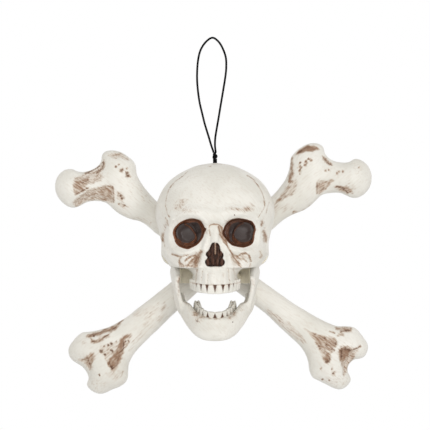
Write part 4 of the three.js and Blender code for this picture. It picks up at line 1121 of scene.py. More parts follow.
def make_jaw():
    grid = Grid(*JAW_GRID)
    edge = jaw_edge()
    x, y = grid.x[:, :, 0], grid.y[:, :, 0]
    shape = np.broadcast(x, y).shape
    nearest = np.full(shape, 1e9)
    low = np.zeros(shape)
    forward = np.zeros(shape)
    for (ax, ay, az), (bx, by, bz) in zip(edge[:-1], edge[1:]):
        ex, ey = bx - ax, by - ay
        t = np.clip(((x - ax) * ex + (y - ay) * ey) / max(ex * ex + ey * ey, 1e-18), 0, 1)
        away = (x - ax - t * ex) ** 2 + (y - ay - t * ey) ** 2
        closer = away < nearest
        nearest = np.where(closer, away, nearest)
        low = np.where(closer, az + t * (bz - az), low)
        forward = np.where(closer, -(ay + t * ey), forward)
    away = np.sqrt(nearest)[:, :, None]
    back, front = GUM_SHARES
    top = -JAW_DROP * (back + (front - back) * forward / JAW_REACH)
    top = top + SHELF_RISE * np.exp(-(((forward - SHELF_FORWARD) / SHELF_LENGTH) ** 2))
    middle, half = ((top + low) / 2)[:, :, None], ((top - low) / 2)[:, :, None]
    up = (grid.z - middle) / half
    chin = np.exp(-((grid.x / 0.016) ** 2)) * ramp(-grid.y, 0.045, 0.066)
    bulge = 0.1 * chin * np.exp(-(((up + 0.55) / 0.4) ** 2))
    thick = JAW_THICKNESS / 2 * (1 - 0.12 * np.clip(up, -1, 1) + bulge)
    body = ((away / thick) ** JAW_ROUNDNESS + np.abs(up) ** JAW_ROUNDNESS) ** (1 / JAW_ROUNDNESS) - 1
    body = scaled(grid.full(body * JAW_THICKNESS / 2), grid.step)
    outline = spline(np.array(RAMUS) * (-JAW_REACH, -JAW_DROP), 4, closed=True)
    side_view = outline_distance(grid.y[0], grid.z[0], outline)[None]
    sway = np.array(RAMUS_SWAY)
    sway = smooth_interpolation(sway[:, 0], sway[:, 1], -grid.z)
    inner = RAMUS_OUTER - RAMUS_THICKNESS + RAMUS_FLARE * grid.y + RAMUS_TAPER * grid.z + sway
    flat = np.maximum(inner - np.abs(grid.x), np.abs(grid.x) - inner - RAMUS_THICKNESS)
    ramus = meet(grid.full(side_view), grid.full(flat), 0.003)
    jaw = unite(body, ramus, 0.005)
    arch = spline(LOWER_ARCH, 12) * (1, -1)
    arch = np.concatenate([arch[::-1] * (-1, 1), arch[1:]])
    away = line_distance(x, y, arch)[:, :, None]
    bed = (-LOWER_GUM - 0.066) / 2
    ridge = np.abs(grid.z - bed) - (0.066 - LOWER_GUM) / 2
    ridge = meet(grid.full(away - 0.0038 - 0.12 * (-LOWER_GUM - grid.z)), grid.full(ridge), 0.0025)
    jaw = unite(jaw, ridge, 0.004)
    shaft = np.sqrt(grid.y**2 + grid.z**2)
    aside = np.abs(grid.x)
    beside = np.minimum(EAR_INNER + EAR_THICKNESS - aside, aside - EAR_INNER)
    jaw = cut(jaw, grid.full(np.maximum(shaft - EAR_RADIUS - GAP, beside)), SHARP)
    ear = np.abs(aside - EAR_INNER - EAR_THICKNESS / 2) - EAR_THICKNESS / 2
    jaw = unite(jaw, grid.full(np.maximum(shaft - EAR_RADIUS, ear)), CRISP)
    jaw = cut(jaw, grid.full(np.where(aside > 0.03, shaft - SHANK_RADIUS, 1.0)), SHARP)
    vertices, quads = surface(jaw, grid)
    return vertices, quads, creases(jaw, grid, vertices)


def opened(vertices):
    """Places in the skull frame from places measured from the hinge with the jaw closed."""
    turn = Matrix.Rotation(OPEN_ANGLE, 3, "X")
    return vertices @ np.array(turn).T + (0, HINGE_BEHIND, -HINGE_DROP)


# Bones
def in_trace(end, points, samples=4, closed=False):
    """A smooth line through a traced bone end, across the skull and below its crown."""
    pixels = spline(points, samples, closed) / TRACE_SCALE + TRACE_CORNERS[end]
    return (pixels - CROWN_PIXEL) * PIXEL


def trace_spot(end, spot, radius, x, drop):
    """How far places lie from a traced spot, in units of its radius."""
    middle = (np.array(spot) / TRACE_SCALE + TRACE_CORNERS[end] - CROWN_PIXEL) * PIXEL
    return np.sqrt((x - middle[0]) ** 2 + (drop - middle[1]) ** 2) / (radius / TRACE_SCALE * PIXEL)


def bone_to_skull(bone, u, v):
    lean, angle = BONE_LEANS[bone], BONE_ANGLES[bone]
    u = u + BONE_SLIDES[bone]
    x = lean * (u * math.cos(angle) - v * math.sin(angle))
    z = u * math.sin(angle) + v * math.cos(angle) - CROSS_DROP
    return x, z


def skull_to_bone(bone, x, z):
    lean, angle = BONE_LEANS[bone], BONE_ANGLES[bone]
    z = z + CROSS_DROP
    u = x * lean * math.cos(angle) + z * math.sin(angle) - BONE_SLIDES[bone]
    v = -x * lean * math.sin(angle) + z * math.cos(angle)
    return u, v


def bone_outline(bone):
    """The bone's outline: its two traced ends and the shaft behind the skull."""
    parts = []
    for end in BONE_ENDS[bone]:
        x, drop = in_trace(end, TRACE_OUTLINES[end]).T
        parts.append(np.stack(skull_to_bone(bone, x, -drop), axis=1))
    upper, lower = parts
    waist = np.array([0, CROSS_RADIUS])
    if upper[0, 1] < upper[-1, 1]:
        upper = upper[::-1]
    if lower[0, 1] > lower[-1, 1]:
        lower = lower[::-1]
    return np.concatenate([upper, [-waist], lower, [waist]])


def inflate(distance, step):
    """Squared half thickness of a body inside an outline, round where the outline is a strip."""
    inside = distance < 0
    height = np.where(inside, -distance * (2 * CROSS_RADIUS + distance), 0)
    height = np.maximum(height, 0)
    for _ in range(INFLATE_ROUNDS):
        around = height[2:, 1:-1] + height[:-2, 1:-1] + height[1:-1, 2:] + height[1:-1, :-2]
        height[1:-1, 1:-1] = np.where(inside[1:-1, 1:-1], (around + 2 * step * step) / 4, 0)
    deep = distance < -1.5 * step
    rate = np.where(deep, height / np.maximum(-distance, step), 0)
    known = deep.astype(float)
    for _ in range(SPREAD_ROUNDS):
        wide_rate, wide_known = np.zeros_like(rate), np.zeros_like(rate)
        for i in (-1, 0, 1):
            for j in (-1, 0, 1):
                wide_rate += np.roll(rate * known, (i, j), (0, 1))
                wide_known += np.roll(known, (i, j), (0, 1))
        fresh = (wide_known > 0) & ~deep
        rate = np.where(fresh, wide_rate / np.maximum(wide_known, 1), rate)
        known = np.where(fresh, 1.0, known)
    rate = np.where(known > 0, rate, CROSS_RADIUS)
    return -distance * rate


def wobble(x, drop):
    """Uneven edges for hollows and paint, from -1 to 1."""
    a, b = x / WOBBLE_WAVE, drop / WOBBLE_WAVE
    slow = np.sin(a + 1.7 * np.sin(0.8 * b + 0.4)) + np.sin(1.3 * b + 1.5 * np.sin(0.9 * a + 2.0))
    fast = np.sin(3.1 * a + 2.0 * np.sin(2.3 * b)) * np.sin(2.9 * b + 1.8 * np.sin(2.7 * a))
    return (slow + fast) / 3


def bone_relief(bone, x, drop, distance):
    """Hollows and pits of a bone, as heights along its surface's normal."""
    rise = np.zeros(np.broadcast(x, drop).shape)
    uneven = WOBBLE * wobble(x, drop)
    for end in BONE_ENDS[bone]:
        for outline, depth, softness in TRACE_HOLLOWS[end]:
            inside = uneven - outline_distance(x, drop, in_trace(end, outline, 3, closed=True))
            rise = rise - HOLLOW_DEPTH * depth * ramp(inside, -PIXEL, (softness + 1.6) * PIXEL)
        for middle, radius in TRACE_PITS[end]:
            away = trace_spot(end, middle, radius, x, drop)
            rise = rise - PIT_DEPTH * min(1, radius / 12) * np.exp(-(away**4) * 0.6)
    return rise * ramp(-distance, 0.0004, 0.005)


def bone_axis(bone):
    front, rear = (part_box(f"bone_{bone + 1}_{part}_shell") for part in ("front", "rear"))
    return (front[1].y + rear[0].y) / 2 - SKULL[1]


def make_bone(bone):
    grid = Grid(*BONE_GRID)
    axis = bone_axis(bone)
    u, v = grid.x, grid.z
    u2, v2 = grid.x[:, 0, :], grid.z[:, 0, :]
    x2, z2 = bone_to_skull(bone, u2, v2)
    distance = outline_distance(u2, v2, bone_outline(bone))
    swell = inflate(distance, grid.step)
    for end in BONE_ENDS[bone]:
        for middle, radius, gain in TRACE_KNOBS[end]:
            away = trace_spot(end, middle, radius, x2, -z2)
            swell = swell * (1 + gain * np.exp(-(away**2)))
    w = grid.y / BONE_FLATNESS
    whole = scaled(grid.full((w * w - swell[:, None, :]) / (2 * CROSS_RADIUS)), grid.step)
    rise = bone_relief(bone, x2, -z2, distance)[:, None, :]
    shape = whole - rise
    x, z = bone_to_skull(bone, u, v)
    y = grid.y + axis
    rear = scaled(grid.full(half_field(x, y, -z, REAR_SHARES, REAR_DEPTH, REAR_ROUNDNESS, 0.0)), grid.step)
    keep = np.where((z > 0.001) | (z < -FACE_HEIGHT) | (y > REAR_DEPTH + 0.004), 1.0, rear)
    shape = cut(shape, grid.full(keep), EASED)
    body = cut(shape, shape + WALL, SOFT)
    bed = REAR_DEPTH if bone == 0 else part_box("rear_shell")[1].y - SKULL[1]
    bed = bed + GAP - axis
    for name, place in screw_places.items():
        su, sv = skull_to_bone(bone, *place)
        if not name.startswith("bone") or abs(sv) > 0.004:
            continue
        around = np.sqrt((u - su) ** 2 + (v - sv) ** 2)
        boss = np.maximum(grid.full(around - BOSS_RADIUS), whole + WALL / 2)
        body = unite(body, boss, SOFT)
        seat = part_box(name)[1].y - HEAD_HEIGHT - GAP - SKULL[1] - axis
        body = cut(body, grid.full(around - SHANK_RADIUS), SHARP)
        body = cut(body, grid.full(np.maximum(around - SINK_RADIUS, seat - grid.y)), SHARP)
        body = cut(body, grid.full(np.maximum(around - BOSS_RADIUS - GAP, grid.y - bed)), SHARP)
    # The band that the other bone takes up where they cross
    ou, ov = skull_to_bone(1 - bone, x, z)
    lap = (GAP / 2 + WALL) * (1 if bone == 0 else -1)
    band = np.abs(ov) - CROSS_RADIUS - CROSS_PLAY - GAP
    behind = lap - grid.y if bone == 0 else grid.y - lap
    notch = grid.full(np.maximum(np.maximum(band, np.abs(ou) - 0.03), behind))
    body = unite(body, meet(grid.full(np.maximum(notch - WALL, -notch)), shape, CRISP), CRISP)
    body = cut(body, notch, CRISP)
    pieces = []
    for side in (-1, 1):
        vertices, quads = surface(np.maximum(body, GAP / 2 - grid.y * side), grid)
        pieces.append((vertices, quads, creases(shape, grid, vertices), outer_skin(shape, grid, vertices)))
    return pieces, axis


# Paint
def patch(x, z, middle, size, angle=0.0):
    """Soft oval of paint, 1 at its middle."""
    c, s = math.cos(angle), math.sin(angle)
    dx, dz = x - middle[0], z - middle[1]
    across, down = (dx * c + dz * s) / size[0], (-dx * s + dz * c) / size[1]
    return np.exp(-(across**2 + down**2) * 1.4)


# Paint of the face: a line of pixels, its half width in pixels and its strength
PIXEL_STROKES = [
    ([(188, 171.6), (182, 177), (174.4, 182.5), (168.6, 191), (166.3, 200), (165.9, 206), (168, 214),
      (170.7, 217.5)], 0.5, 0.48),
    ([(247, 175.5), (254.4, 181), (261.6, 192.5), (264.3, 203), (263.2, 209), (258, 217)], 0.55, 0.55),
    ([(269, 202.5), (267, 208), (266, 212.5)], 0.6, 0.4), ([(261.6, 221.6), (261.2, 226)], 0.8, 0.7),
    ([(165.6, 217.5), (167.4, 221), (168.4, 225.5)], 0.6, 0.55),
    ([(211.6, 164.4), (218, 164.2), (225.3, 164.6)], 0.5, 0.55),
    ([(208.9, 227.2), (210, 225.2), (212.5, 224.4), (217.5, 224.4), (219.6, 225.4), (221, 228)], 0.65, 0.8),
    ([(209.6, 227), (209.4, 231), (210.2, 235.4)], 0.6, 0.5),
    ([(218.6, 226), (219.4, 231), (220.6, 235.4), (222.6, 239.5), (226.6, 244.7), (229.8, 250),
      (233.2, 255.4), (236, 260), (239.2, 265)], 0.8, 0.8),
    ([(221.6, 227.5), (222.2, 232)], 0.7, 0.85), ([(223.6, 231), (224.2, 236.6)], 0.6, 0.85),
    ([(222.4, 236), (223.8, 241.6)], 0.7, 0.85), ([(225, 239), (227, 243.4)], 0.6, 0.8),
    ([(201.3, 251.4), (198.8, 254.6), (196.9, 258.2), (195.8, 262.4), (196, 266)], 1.5, 0.8),
    ([(200.6, 252.4), (196.4, 256), (192.4, 259.6), (189.4, 263), (187.6, 265.8)], 0.9, 0.75),
    ([(195.7, 255.2), (190.4, 256.8), (186.8, 259), (184.9, 261.2)], 0.8, 0.72),
    ([(172, 254.2), (176.4, 255.2), (180.6, 256.4), (185, 255.4), (188, 254.6)], 0.75, 0.66),
    ([(181.4, 256.4), (179.9, 259), (179.6, 261.6), (180.6, 264)], 0.9, 0.7),
    ([(179.7, 265.9), (186, 265.6), (191.2, 265.6), (197.5, 267)], 0.8, 0.5),
    ([(232.6, 254.2), (235.4, 255.6), (238.4, 255.4), (241.4, 253.4)], 0.75, 0.7),
    ([(241.4, 253.4), (245.6, 253.2), (248.9, 255.6), (249.6, 258.4), (250.8, 261)], 0.85, 0.75),
    ([(236.4, 256.8), (240.4, 258.6), (244, 259.4), (246.8, 261.8)], 0.7, 0.55),
    ([(234.4, 257.6), (237, 261.4), (239.8, 264.2), (241, 266.6)], 0.9, 0.6),
    ([(249.6, 261), (250.2, 264.4), (249.6, 267)], 0.8, 0.5),
    ([(259.8, 251.4), (261.4, 254.4), (260, 257.6)], 1.0, 0.55),
    # The two temple strokes and the two temple ovals are partly painted shadow of the hollow behind each
    # socket's outer rim, over a carved groove.
    ([(163.4, 233), (162.6, 237), (163.2, 241)], 1.2, 0.5),
    ([(263.6, 231), (265, 236.4), (265.2, 241)], 1.3, 0.7),
    ([(166.4, 262), (169.4, 266), (172.4, 267.6)], 0.8, 0.3),
    ([(197.2, 269), (196.4, 276), (195.4, 282)], 0.8, 0.42),
    ([(202.4, 270), (201.6, 282)], 0.6, 0.3), ([(208, 273), (207.4, 283)], 0.6, 0.32),
    ([(223, 272), (223.2, 283)], 0.6, 0.3),
    ([(228.2, 268), (229, 276), (229.4, 283)], 0.7, 0.42),
    ([(233.4, 268), (235.4, 276), (236.6, 283)], 0.9, 0.42),
    ([(190.6, 283.4), (202, 284.4), (215, 284.6), (229, 284.4), (240.4, 283.4)], 0.7, 0.5),
]
# Ovals of paint: middle, sizes, lean and strength
PIXEL_PATCHES = [
    ((179.5, 207.2), (8.8, 6.4), -0.1, 0.38), ((190, 211.2), (9.0, 2.6), 0.08, 0.34),
    ((183, 201), (7, 4), 0.0, 0.28), ((236, 209.4), (8.6, 2.8), 0.1, 0.42),
    ((246.4, 209.2), (6.6, 3.4), 0.12, 0.5), ((251, 205), (5, 5), 0.0, 0.3),
    ((222.4, 233.6), (2.6, 7.2), -0.2, 0.6), ((225.4, 240.6), (2.4, 3.6), -0.6, 0.6),
    ((197.2, 259.4), (4.2, 7.4), 0.25, 0.62), ((190.6, 262.4), (5.6, 3.6), 0.2, 0.42),
    ((183.4, 264.2), (5.2, 2.4), 0.0, 0.36), ((236.6, 262), (4.6, 4.2), -0.3, 0.4),
    ((232, 257.6), (2.2, 4.4), -0.4, 0.5), ((244.6, 256.6), (5.4, 2.6), 0.2, 0.4),
    # These temple ovals are partly painted shadow of the hollow behind each socket's outer rim.
    ((264.8, 237.6), (2.6, 5.4), 0.0, 0.62), ((163, 238), (2.2, 5.4), 0.0, 0.42),
    ((227.6, 221.6), (4.6, 3.6), 0.5, 0.3), ((204, 224.6), (3.4, 3), 0.0, 0.25),
    ((210.2, 166.4), (1.8, 1.2), 0.0, 0.55), ((176.6, 254.6), (4, 1.8), 0.1, 0.35),
    ((255.6, 229.6), (2.2, 3.2), 0.0, 0.25), ((206.6, 232), (2.2, 3.6), 0.0, 0.35),
    ((166, 224), (2.6, 4.6), 0.3, 0.3), ((262.6, 222), (2.4, 5), -0.1, 0.35),
    ((187, 178), (4.6, 1.6), -0.8, 0.22),
]
STROKE_WIDTH = 1.3
# Darkening of the socket paint, left and right: painted shade over the lower half of the left socket, and the
# whole right socket darker.
SOCKET_DARKS = (0.4, 0.5)
SOCKET_SHADE_DROPS = (0.078, 0.09)
PIXEL_DOTS = [((193.6, 215.7), 1.0, 0.5), ((234.2, 215), 1.1, 0.95)]
JAW_PIXEL_DOTS = [((197, 320.6), 1.9, 0.62), ((232.6, 321.5), 1.3, 0.8), ((202.4, 318.6), 1.0, 0.4)]
JAW_PIXEL_PATCHES = [
    ((204.5, 314), (3, 2.2), 0.3, 0.75), ((210, 317), (2.6, 1.6), 0.0, 0.65),
    ((221, 316.8), (2.6, 1.6), 0.0, 0.6), ((226, 314.2), (2.8, 2), -0.3, 0.65),
    ((199, 308), (4.6, 4.4), 0.6, 0.6), ((231.4, 307.6), (4.2, 4.4), -0.6, 0.55),
    ((215.4, 318.6), (3, 1.6), 0.0, 0.5), ((195.6, 313.4), (3.8, 3.4), 0.0, 0.7),
    ((197.2, 319.6), (3.8, 3.8), 0.0, 0.36), ((201.4, 317), (3.6, 2.6), 0.2, 0.5),
    ((234.4, 313), (3.6, 3.2), 0.0, 0.48), ((229.6, 317.4), (4, 3), 0.0, 0.42),
    ((187.4, 302), (4.6, 3.4), 0.7, 0.42), ((244, 301.4), (4.6, 3), -0.7, 0.34),
    # The narrow ovals at the rami are partly painted shadow in the gap beside each coronoid and partly
    # brownish streaks.
    ((179.4, 280), (2.4, 5.6), 0.2, 0.62), ((173, 290), (2.2, 12), 0.15, 0.3),
    ((178.6, 292), (1.8, 9), 0.05, 0.28), ((256.4, 290), (2.4, 12), -0.12, 0.34),
    ((252.4, 282), (1.8, 6), 0.0, 0.3), ((190, 309), (3.6, 4.6), 0.6, 0.25),
    ((241, 309), (3.6, 4.6), -0.6, 0.22),
]


def paint(x, drop, strokes, patches, dots):
    """Brown wash and dark paint at places on a surface, seen in the photograph's plane."""
    wash = np.zeros(len(x))
    uneven = 0.0004 * wobble(x, drop)
    for points, width, strength in strokes:
        away = (line_distance(x, drop, in_photo(points)) + uneven) / (STROKE_WIDTH * width * PIXEL)
        wash = np.maximum(wash, strength * np.exp(-(away**2)))
    for middle, size, lean, strength in patches:
        middle = (np.array(middle) - CROWN_PIXEL) * PIXEL
        wash = wash + (1 - wash) * strength * patch(x, drop, middle, np.array(size) * PIXEL, lean)
    deep = np.zeros(len(x))
    for middle, size, strength in dots:
        middle = (np.array(middle) - CROWN_PIXEL) * PIXEL
        deep = np.maximum(deep, strength * patch(x, drop, middle, (size * PIXEL, size * PIXEL)))
    return wash, deep


def vertex_normals(vertices, quads):
    a, b, c, d = (vertices[quads[:, k]] for k in range(4))
    face = np.cross(c - a, d - b)
    total = np.zeros_like(vertices)
    for k in range(4):
        np.add.at(total, quads[:, k], face)
    return total / np.maximum(np.linalg.norm(total, axis=1), 1e-12)[:, None]


# Skull pieces
def socket_paint_and_shade(x, drop):
    """How much the sockets are darkened: the whole right one, and the lower half of the left one as painted
    shade.
    """
    return np.where(x > 0, SOCKET_DARKS[1], SOCKET_DARKS[0] * ramp(drop, *SOCKET_SHADE_DROPS))


def dress_face():
    """The painted face shell."""
    vertices, quads, cavity, outer = make_face()
    x, y, drop = vertices[:, 0], vertices[:, 1], -vertices[:, 2]
    normals = vertex_normals(vertices, quads)
    front = ramp(-normals[:, 1], 0.0, 0.35)
    wash, deep = paint(x, drop, PIXEL_STROKES, PIXEL_PATCHES, PIXEL_DOTS)
    socket = np.minimum(*(outline_distance(x, drop, line) for line in socket_lines))
    nose = outline_distance(x, drop, nose_line)
    in_socket = ramp(-socket, -0.0003, 0.0009) * (y < -SOCKET_FLOOR)
    in_socket = in_socket * (1 - ramp(socket, 0.0, 0.0006) * (1 - outer))
    in_nose = ramp(-nose, -0.0002, 0.0008)
    septum = np.exp(-(((x - 0.0003) / 0.0011) ** 2))
    septum = septum * ramp(drop, 0.0885, 0.091) * ramp(-drop, -0.1035, -0.102)
    gloss = np.maximum(in_socket, in_nose * (1 - septum * ramp(-y, 0.056, 0.0585)))
    gloss = gloss * (y < -SOCKET_FLOOR + WALL)
    crease = ramp(cavity, 0.14, 0.5)
    wash = np.maximum(wash * front * outer, 0.42 * crease * front * outer * (drop > 0.06))
    wash = np.maximum(wash, 0.95 * septum * in_nose)
    deep = np.maximum(deep * front * outer, in_nose * (1 - septum))
    # Darkens the socket paint, with painted shade in the lower half of the left socket.
    deep = np.maximum(deep, in_socket * socket_paint_and_shade(x, drop))
    return make_piece(
        "skull_face", vertices + SKULL, quads, "skull", "bone_plastic", ["face_shell"],
        # inner marks the inner faces, which the material lightens as painted light.
        {"wash": wash, "deep": deep, "gloss": gloss, "inner": (1 - outer) * (1 - gloss)},
    )


def dress_upper_teeth():
    arch = upper_arch()
    rows = tooth_row(arch, UPPER_TEETH)
    vertices, quads, wash, deep = make_teeth(arch, rows, UPPER_ROOT, 0.0004, -FACE_HEIGHT, -1)
    return make_piece(
        "upper_teeth", vertices + SKULL, quads, "skull", "bone_plastic", ["face_shell"],
        {"wash": wash, "deep": deep, "gloss": np.zeros(len(vertices))},
    )


def dress_rear():
    vertices, quads, cavity, outer = make_rear()
    zero = np.zeros(len(vertices))
    return make_piece(
        "skull_rear", vertices + SKULL, quads, "skull", "bone_plastic", ["rear_shell"],
        # inner marks the inner faces, which the material lightens as painted light.
        {"wash": 0.4 * ramp(cavity * outer, 0.16, 0.5), "deep": zero, "gloss": zero, "inner": 1 - outer},
    )


def dress_jaw():
    """The painted jaw, opened as in the photograph."""
    vertices, quads, cavity = make_jaw()
    vertices = opened(vertices)
    normals = vertex_normals(vertices, quads)
    front = ramp(-normals[:, 1], -0.1, 0.3)
    wash, deep = paint(vertices[:, 0], -vertices[:, 2], [], JAW_PIXEL_PATCHES, JAW_PIXEL_DOTS)
    wash = np.maximum(wash * front, 0.5 * ramp(cavity, 0.12, 0.45))
    return make_piece(
        "skull_jaw", vertices + SKULL, quads, "jaw", "bone_plastic", ["jaw"],
        {"wash": wash, "deep": deep * front, "gloss": np.zeros(len(vertices))},
    )


def dress_lower_teeth():
    arch = spline(LOWER_ARCH, 12) * (1, -1)
    rows = tooth_row(arch, LOWER_TEETH)
    vertices, quads, wash, deep = make_teeth(arch, rows, LOWER_ROOT, 0.0002, -LOWER_GUM, 1)
    return make_piece(
        "lower_teeth", opened(vertices) + SKULL, quads, "jaw", "bone_plastic", ["jaw"],
        {"wash": wash, "deep": deep, "gloss": np.zeros(len(vertices))},
    )


face = dress_face()
upper_teeth = dress_upper_teeth()
rear = dress_rear()
jaw = dress_jaw()
lower_teeth = dress_lower_teeth()


# Eye cups: a dish with a lens that bulges behind a lid
def make_cup(side):
    line = socket_lines[side]
    middle, size = (np.array(part, float) for part in PIXEL_LENSES[side])
    middle = (middle - CROWN_PIXEL) * PIXEL
    size = size * PIXEL
    rim = line.mean(axis=0)
    turns = 144
    angles = np.linspace(0, 2 * math.pi, turns, endpoint=False)
    around = np.unwrap(np.arctan2(line[:, 1] - rim[1], line[:, 0] - rim[0])) % (2 * math.pi)
    order = np.argsort(around)
    away = np.linalg.norm(line - rim, axis=1)
    reach = np.interp(angles, around[order], away[order], period=2 * math.pi)
    shares = np.linspace(0, 1, 56)
    edge = reach + CUP_RIM
    x = rim[0] + np.outer(shares, edge * np.cos(angles))
    drop = rim[1] + np.outer(shares, edge * np.sin(angles))
    inside = np.outer(shares, edge) - reach + SOCKET_TAPER
    bowl = CUP_DEPTH * ramp(-inside, -0.0004, 0.0075)
    lens = np.sqrt(((x - middle[0]) / size[0]) ** 2 + ((drop - middle[1]) / size[1]) ** 2)
    bulge = LENS_RISE * np.sqrt(np.clip(1 - (lens * 0.82) ** 2, 0, 1)) * ramp(-lens, -1.03, -0.95)
    folds, lines = 0, 0
    for points, width, height in PIXEL_LIDS[side]:
        fold = np.exp(-((line_distance(x, drop, in_photo(points, 8)) / width) ** 2))
        folds = np.maximum(folds, height * fold)
        lines = np.maximum(lines, fold * min(1, height / 0.0012))
    smoke = outline_distance(x, drop, in_photo(PIXEL_SMOKE[side], 4, closed=True))
    smoke = np.maximum(ramp(-smoke, -0.0004, 0.0008), ramp(-lens, -1.02, -0.93))
    y = -CUP_FRONT + bowl - bulge - folds
    ridge = np.clip(1 - smoke + 0.8 * lines, 0, 1)
    front = np.stack([x, y, -drop], axis=2)
    back = front + (0, CUP_THICKNESS, 0)
    rings = np.concatenate([front[1:], back[:0:-1]])
    vertices = np.concatenate([front[0, :1], rings.reshape(-1, 3), back[0, :1]])
    ridge = np.concatenate([ridge[1:], ridge[:0:-1]]).ravel()
    ridge = np.concatenate([[0], ridge, [0]])
    quads = []
    count = len(rings)
    for i in range(count - 1):
        a = 1 + i * turns + np.arange(turns)
        b = 1 + i * turns + (np.arange(turns) + 1) % turns
        quads.append(np.stack([a, b, b + turns, a + turns], axis=1))
    ends = []
    for hub, first, flip in ((0, 1, False), (len(vertices) - 1, 1 + (count - 1) * turns, True)):
        for i in range(0, turns, 2):
            ring = [first + i, first + (i + 1) % turns, first + (i + 2) % turns]
            ends.append([hub, *ring] if flip else [hub, *ring[::-1]])
    return vertices, np.concatenate([*quads, np.array(ends)]), ridge


cups = []
for side, name in enumerate(("left", "right")):
    vertices, quads, ridge = make_cup(side)
    cups.append(
        make_piece(
            f"eye_dish_{name}", vertices + SKULL, quads, "skull", "socket_plastic", [f"eye_cup_{name}"],
            # deep darkens the dish's brown paint, with painted shade in the lower half of the left one.
            {"ridge": ridge, "deep": socket_paint_and_shade(vertices[:, 0], -vertices[:, 2])},
        )
    )


def bone_paint(bone, x, drop):
    """How strongly the wash and the deep paint cover places on a bone."""
    uneven = 1.3 * WOBBLE * wobble(x, drop)
    wash = np.zeros(len(x))
    deep = np.zeros(len(x))
    for end in BONE_ENDS[bone]:
        for outline, strength in TRACE_WASHES[end]:
            inside = uneven - outline_distance(x, drop, in_trace(end, outline, 3, closed=True))
            wash = wash + (1 - wash) * strength * ramp(inside, -1.4 * PIXEL, 2.0 * PIXEL)
        for line, width in TRACE_DARKS[end]:
            away = line_distance(x, drop, in_trace(end, line)) / (width / TRACE_SCALE * PIXEL)
            deep = np.maximum(deep, 0.58 * np.exp(-(away**2) / 1.7))
            wash = np.maximum(wash, 0.7 * np.exp(-(away**2) / 6))
        for middle, radius in TRACE_PITS[end]:
            away = trace_spot(end, middle, radius, x, drop)
            away = away * (1 - 0.5 * wobble(2 * x, 2 * drop))
            deep = np.maximum(deep, PIT_DARKS[end] * np.exp(-(away**4) * 0.4))
            wash = np.maximum(wash, 0.8 * np.exp(-((away / 1.5) ** 2)))
    return wash, deep


# Knots and tails of the cord
def knot(low, high, radius, turn, lie):
    """A closed overhand knot that fills a box, turned in its plane; lie is the order of its axes."""
    t = np.linspace(0, 2 * math.pi, KNOT_SAMPLES, endpoint=False)
    across, up = np.sin(t) + 2 * np.sin(2 * t), np.cos(t) - 2 * np.cos(2 * t)
    c, s = math.cos(turn), math.sin(turn)
    line = np.stack([across * c - up * s, np.sin(3 * t), across * s + up * c], axis=1)[:, lie]
    low, high = np.array(low), np.array(high)
    line = 2 * (line - line.min(axis=0)) / (line.max(axis=0) - line.min(axis=0)) - 1
    return tube((low + high) / 2 + line * ((high - low) / 2 - radius), radius, closed=True)


def tail(low, high):
    """A straight piece of cord that fills a box."""
    middle = (np.array(low) + np.array(high)) / 2
    levels = np.linspace(low[2] - CORD_RADIUS, high[2] + CORD_RADIUS, 20)
    return tube([(middle[0], middle[1], level) for level in levels], FULLNESS * CORD_RADIUS)


cords = []
for name, made in (
    ("hang_loop", loop_mesh),
    ("loop_knot", knot(*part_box("loop_knot"), 1.35 * CORD_RADIUS, KNOT_TURN, [0, 1, 2])),
    ("cord_tail_left", tail(*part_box("cord_tail_left"))),
    ("cord_tail_right", tail(*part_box("cord_tail_right"))),
    ("stopper_knot", knot(*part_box("stopper_knot"), 1.2 * CORD_RADIUS, 0.0, [0, 2, 1])),
):
    cords.append(make_piece(f"laid_{name}", *made, "skull", "cord", [name]))

def dress_bone(bone):
    """The painted front and rear half shells of a bone."""
    dressed = []
    pieces, axis = make_bone(bone)
    for name, (vertices, quads, cavity, outer) in zip(("front", "rear"), pieces):
        normals = vertex_normals(vertices, quads)
        facing = ramp(np.abs(normals[:, 1]), 0.02, 0.3) * outer
        x, z = bone_to_skull(bone, vertices[:, 0], vertices[:, 2])
        wash, deep = bone_paint(bone, x, -z)
        wash = np.maximum(wash * facing, 0.4 * ramp(cavity, 0.15, 0.5) * outer)
        placed = np.stack([x, vertices[:, 1] + axis, z], axis=1) + SKULL
        if BONE_LEANS[bone] < 0:
            quads = quads[:, ::-1]
        node = f"bone_{bone + 1}_{name}_shell"
        piece = make_piece(
            f"bone_{bone + 1}_{name}", placed, quads, "skull", "bone_plastic", [node],
            {"wash": wash, "deep": deep * facing, "gloss": np.zeros(len(vertices))},
        )
        dressed.append(piece)
    return dressed


bone_objects = dress_bone(0) + dress_bone(1)


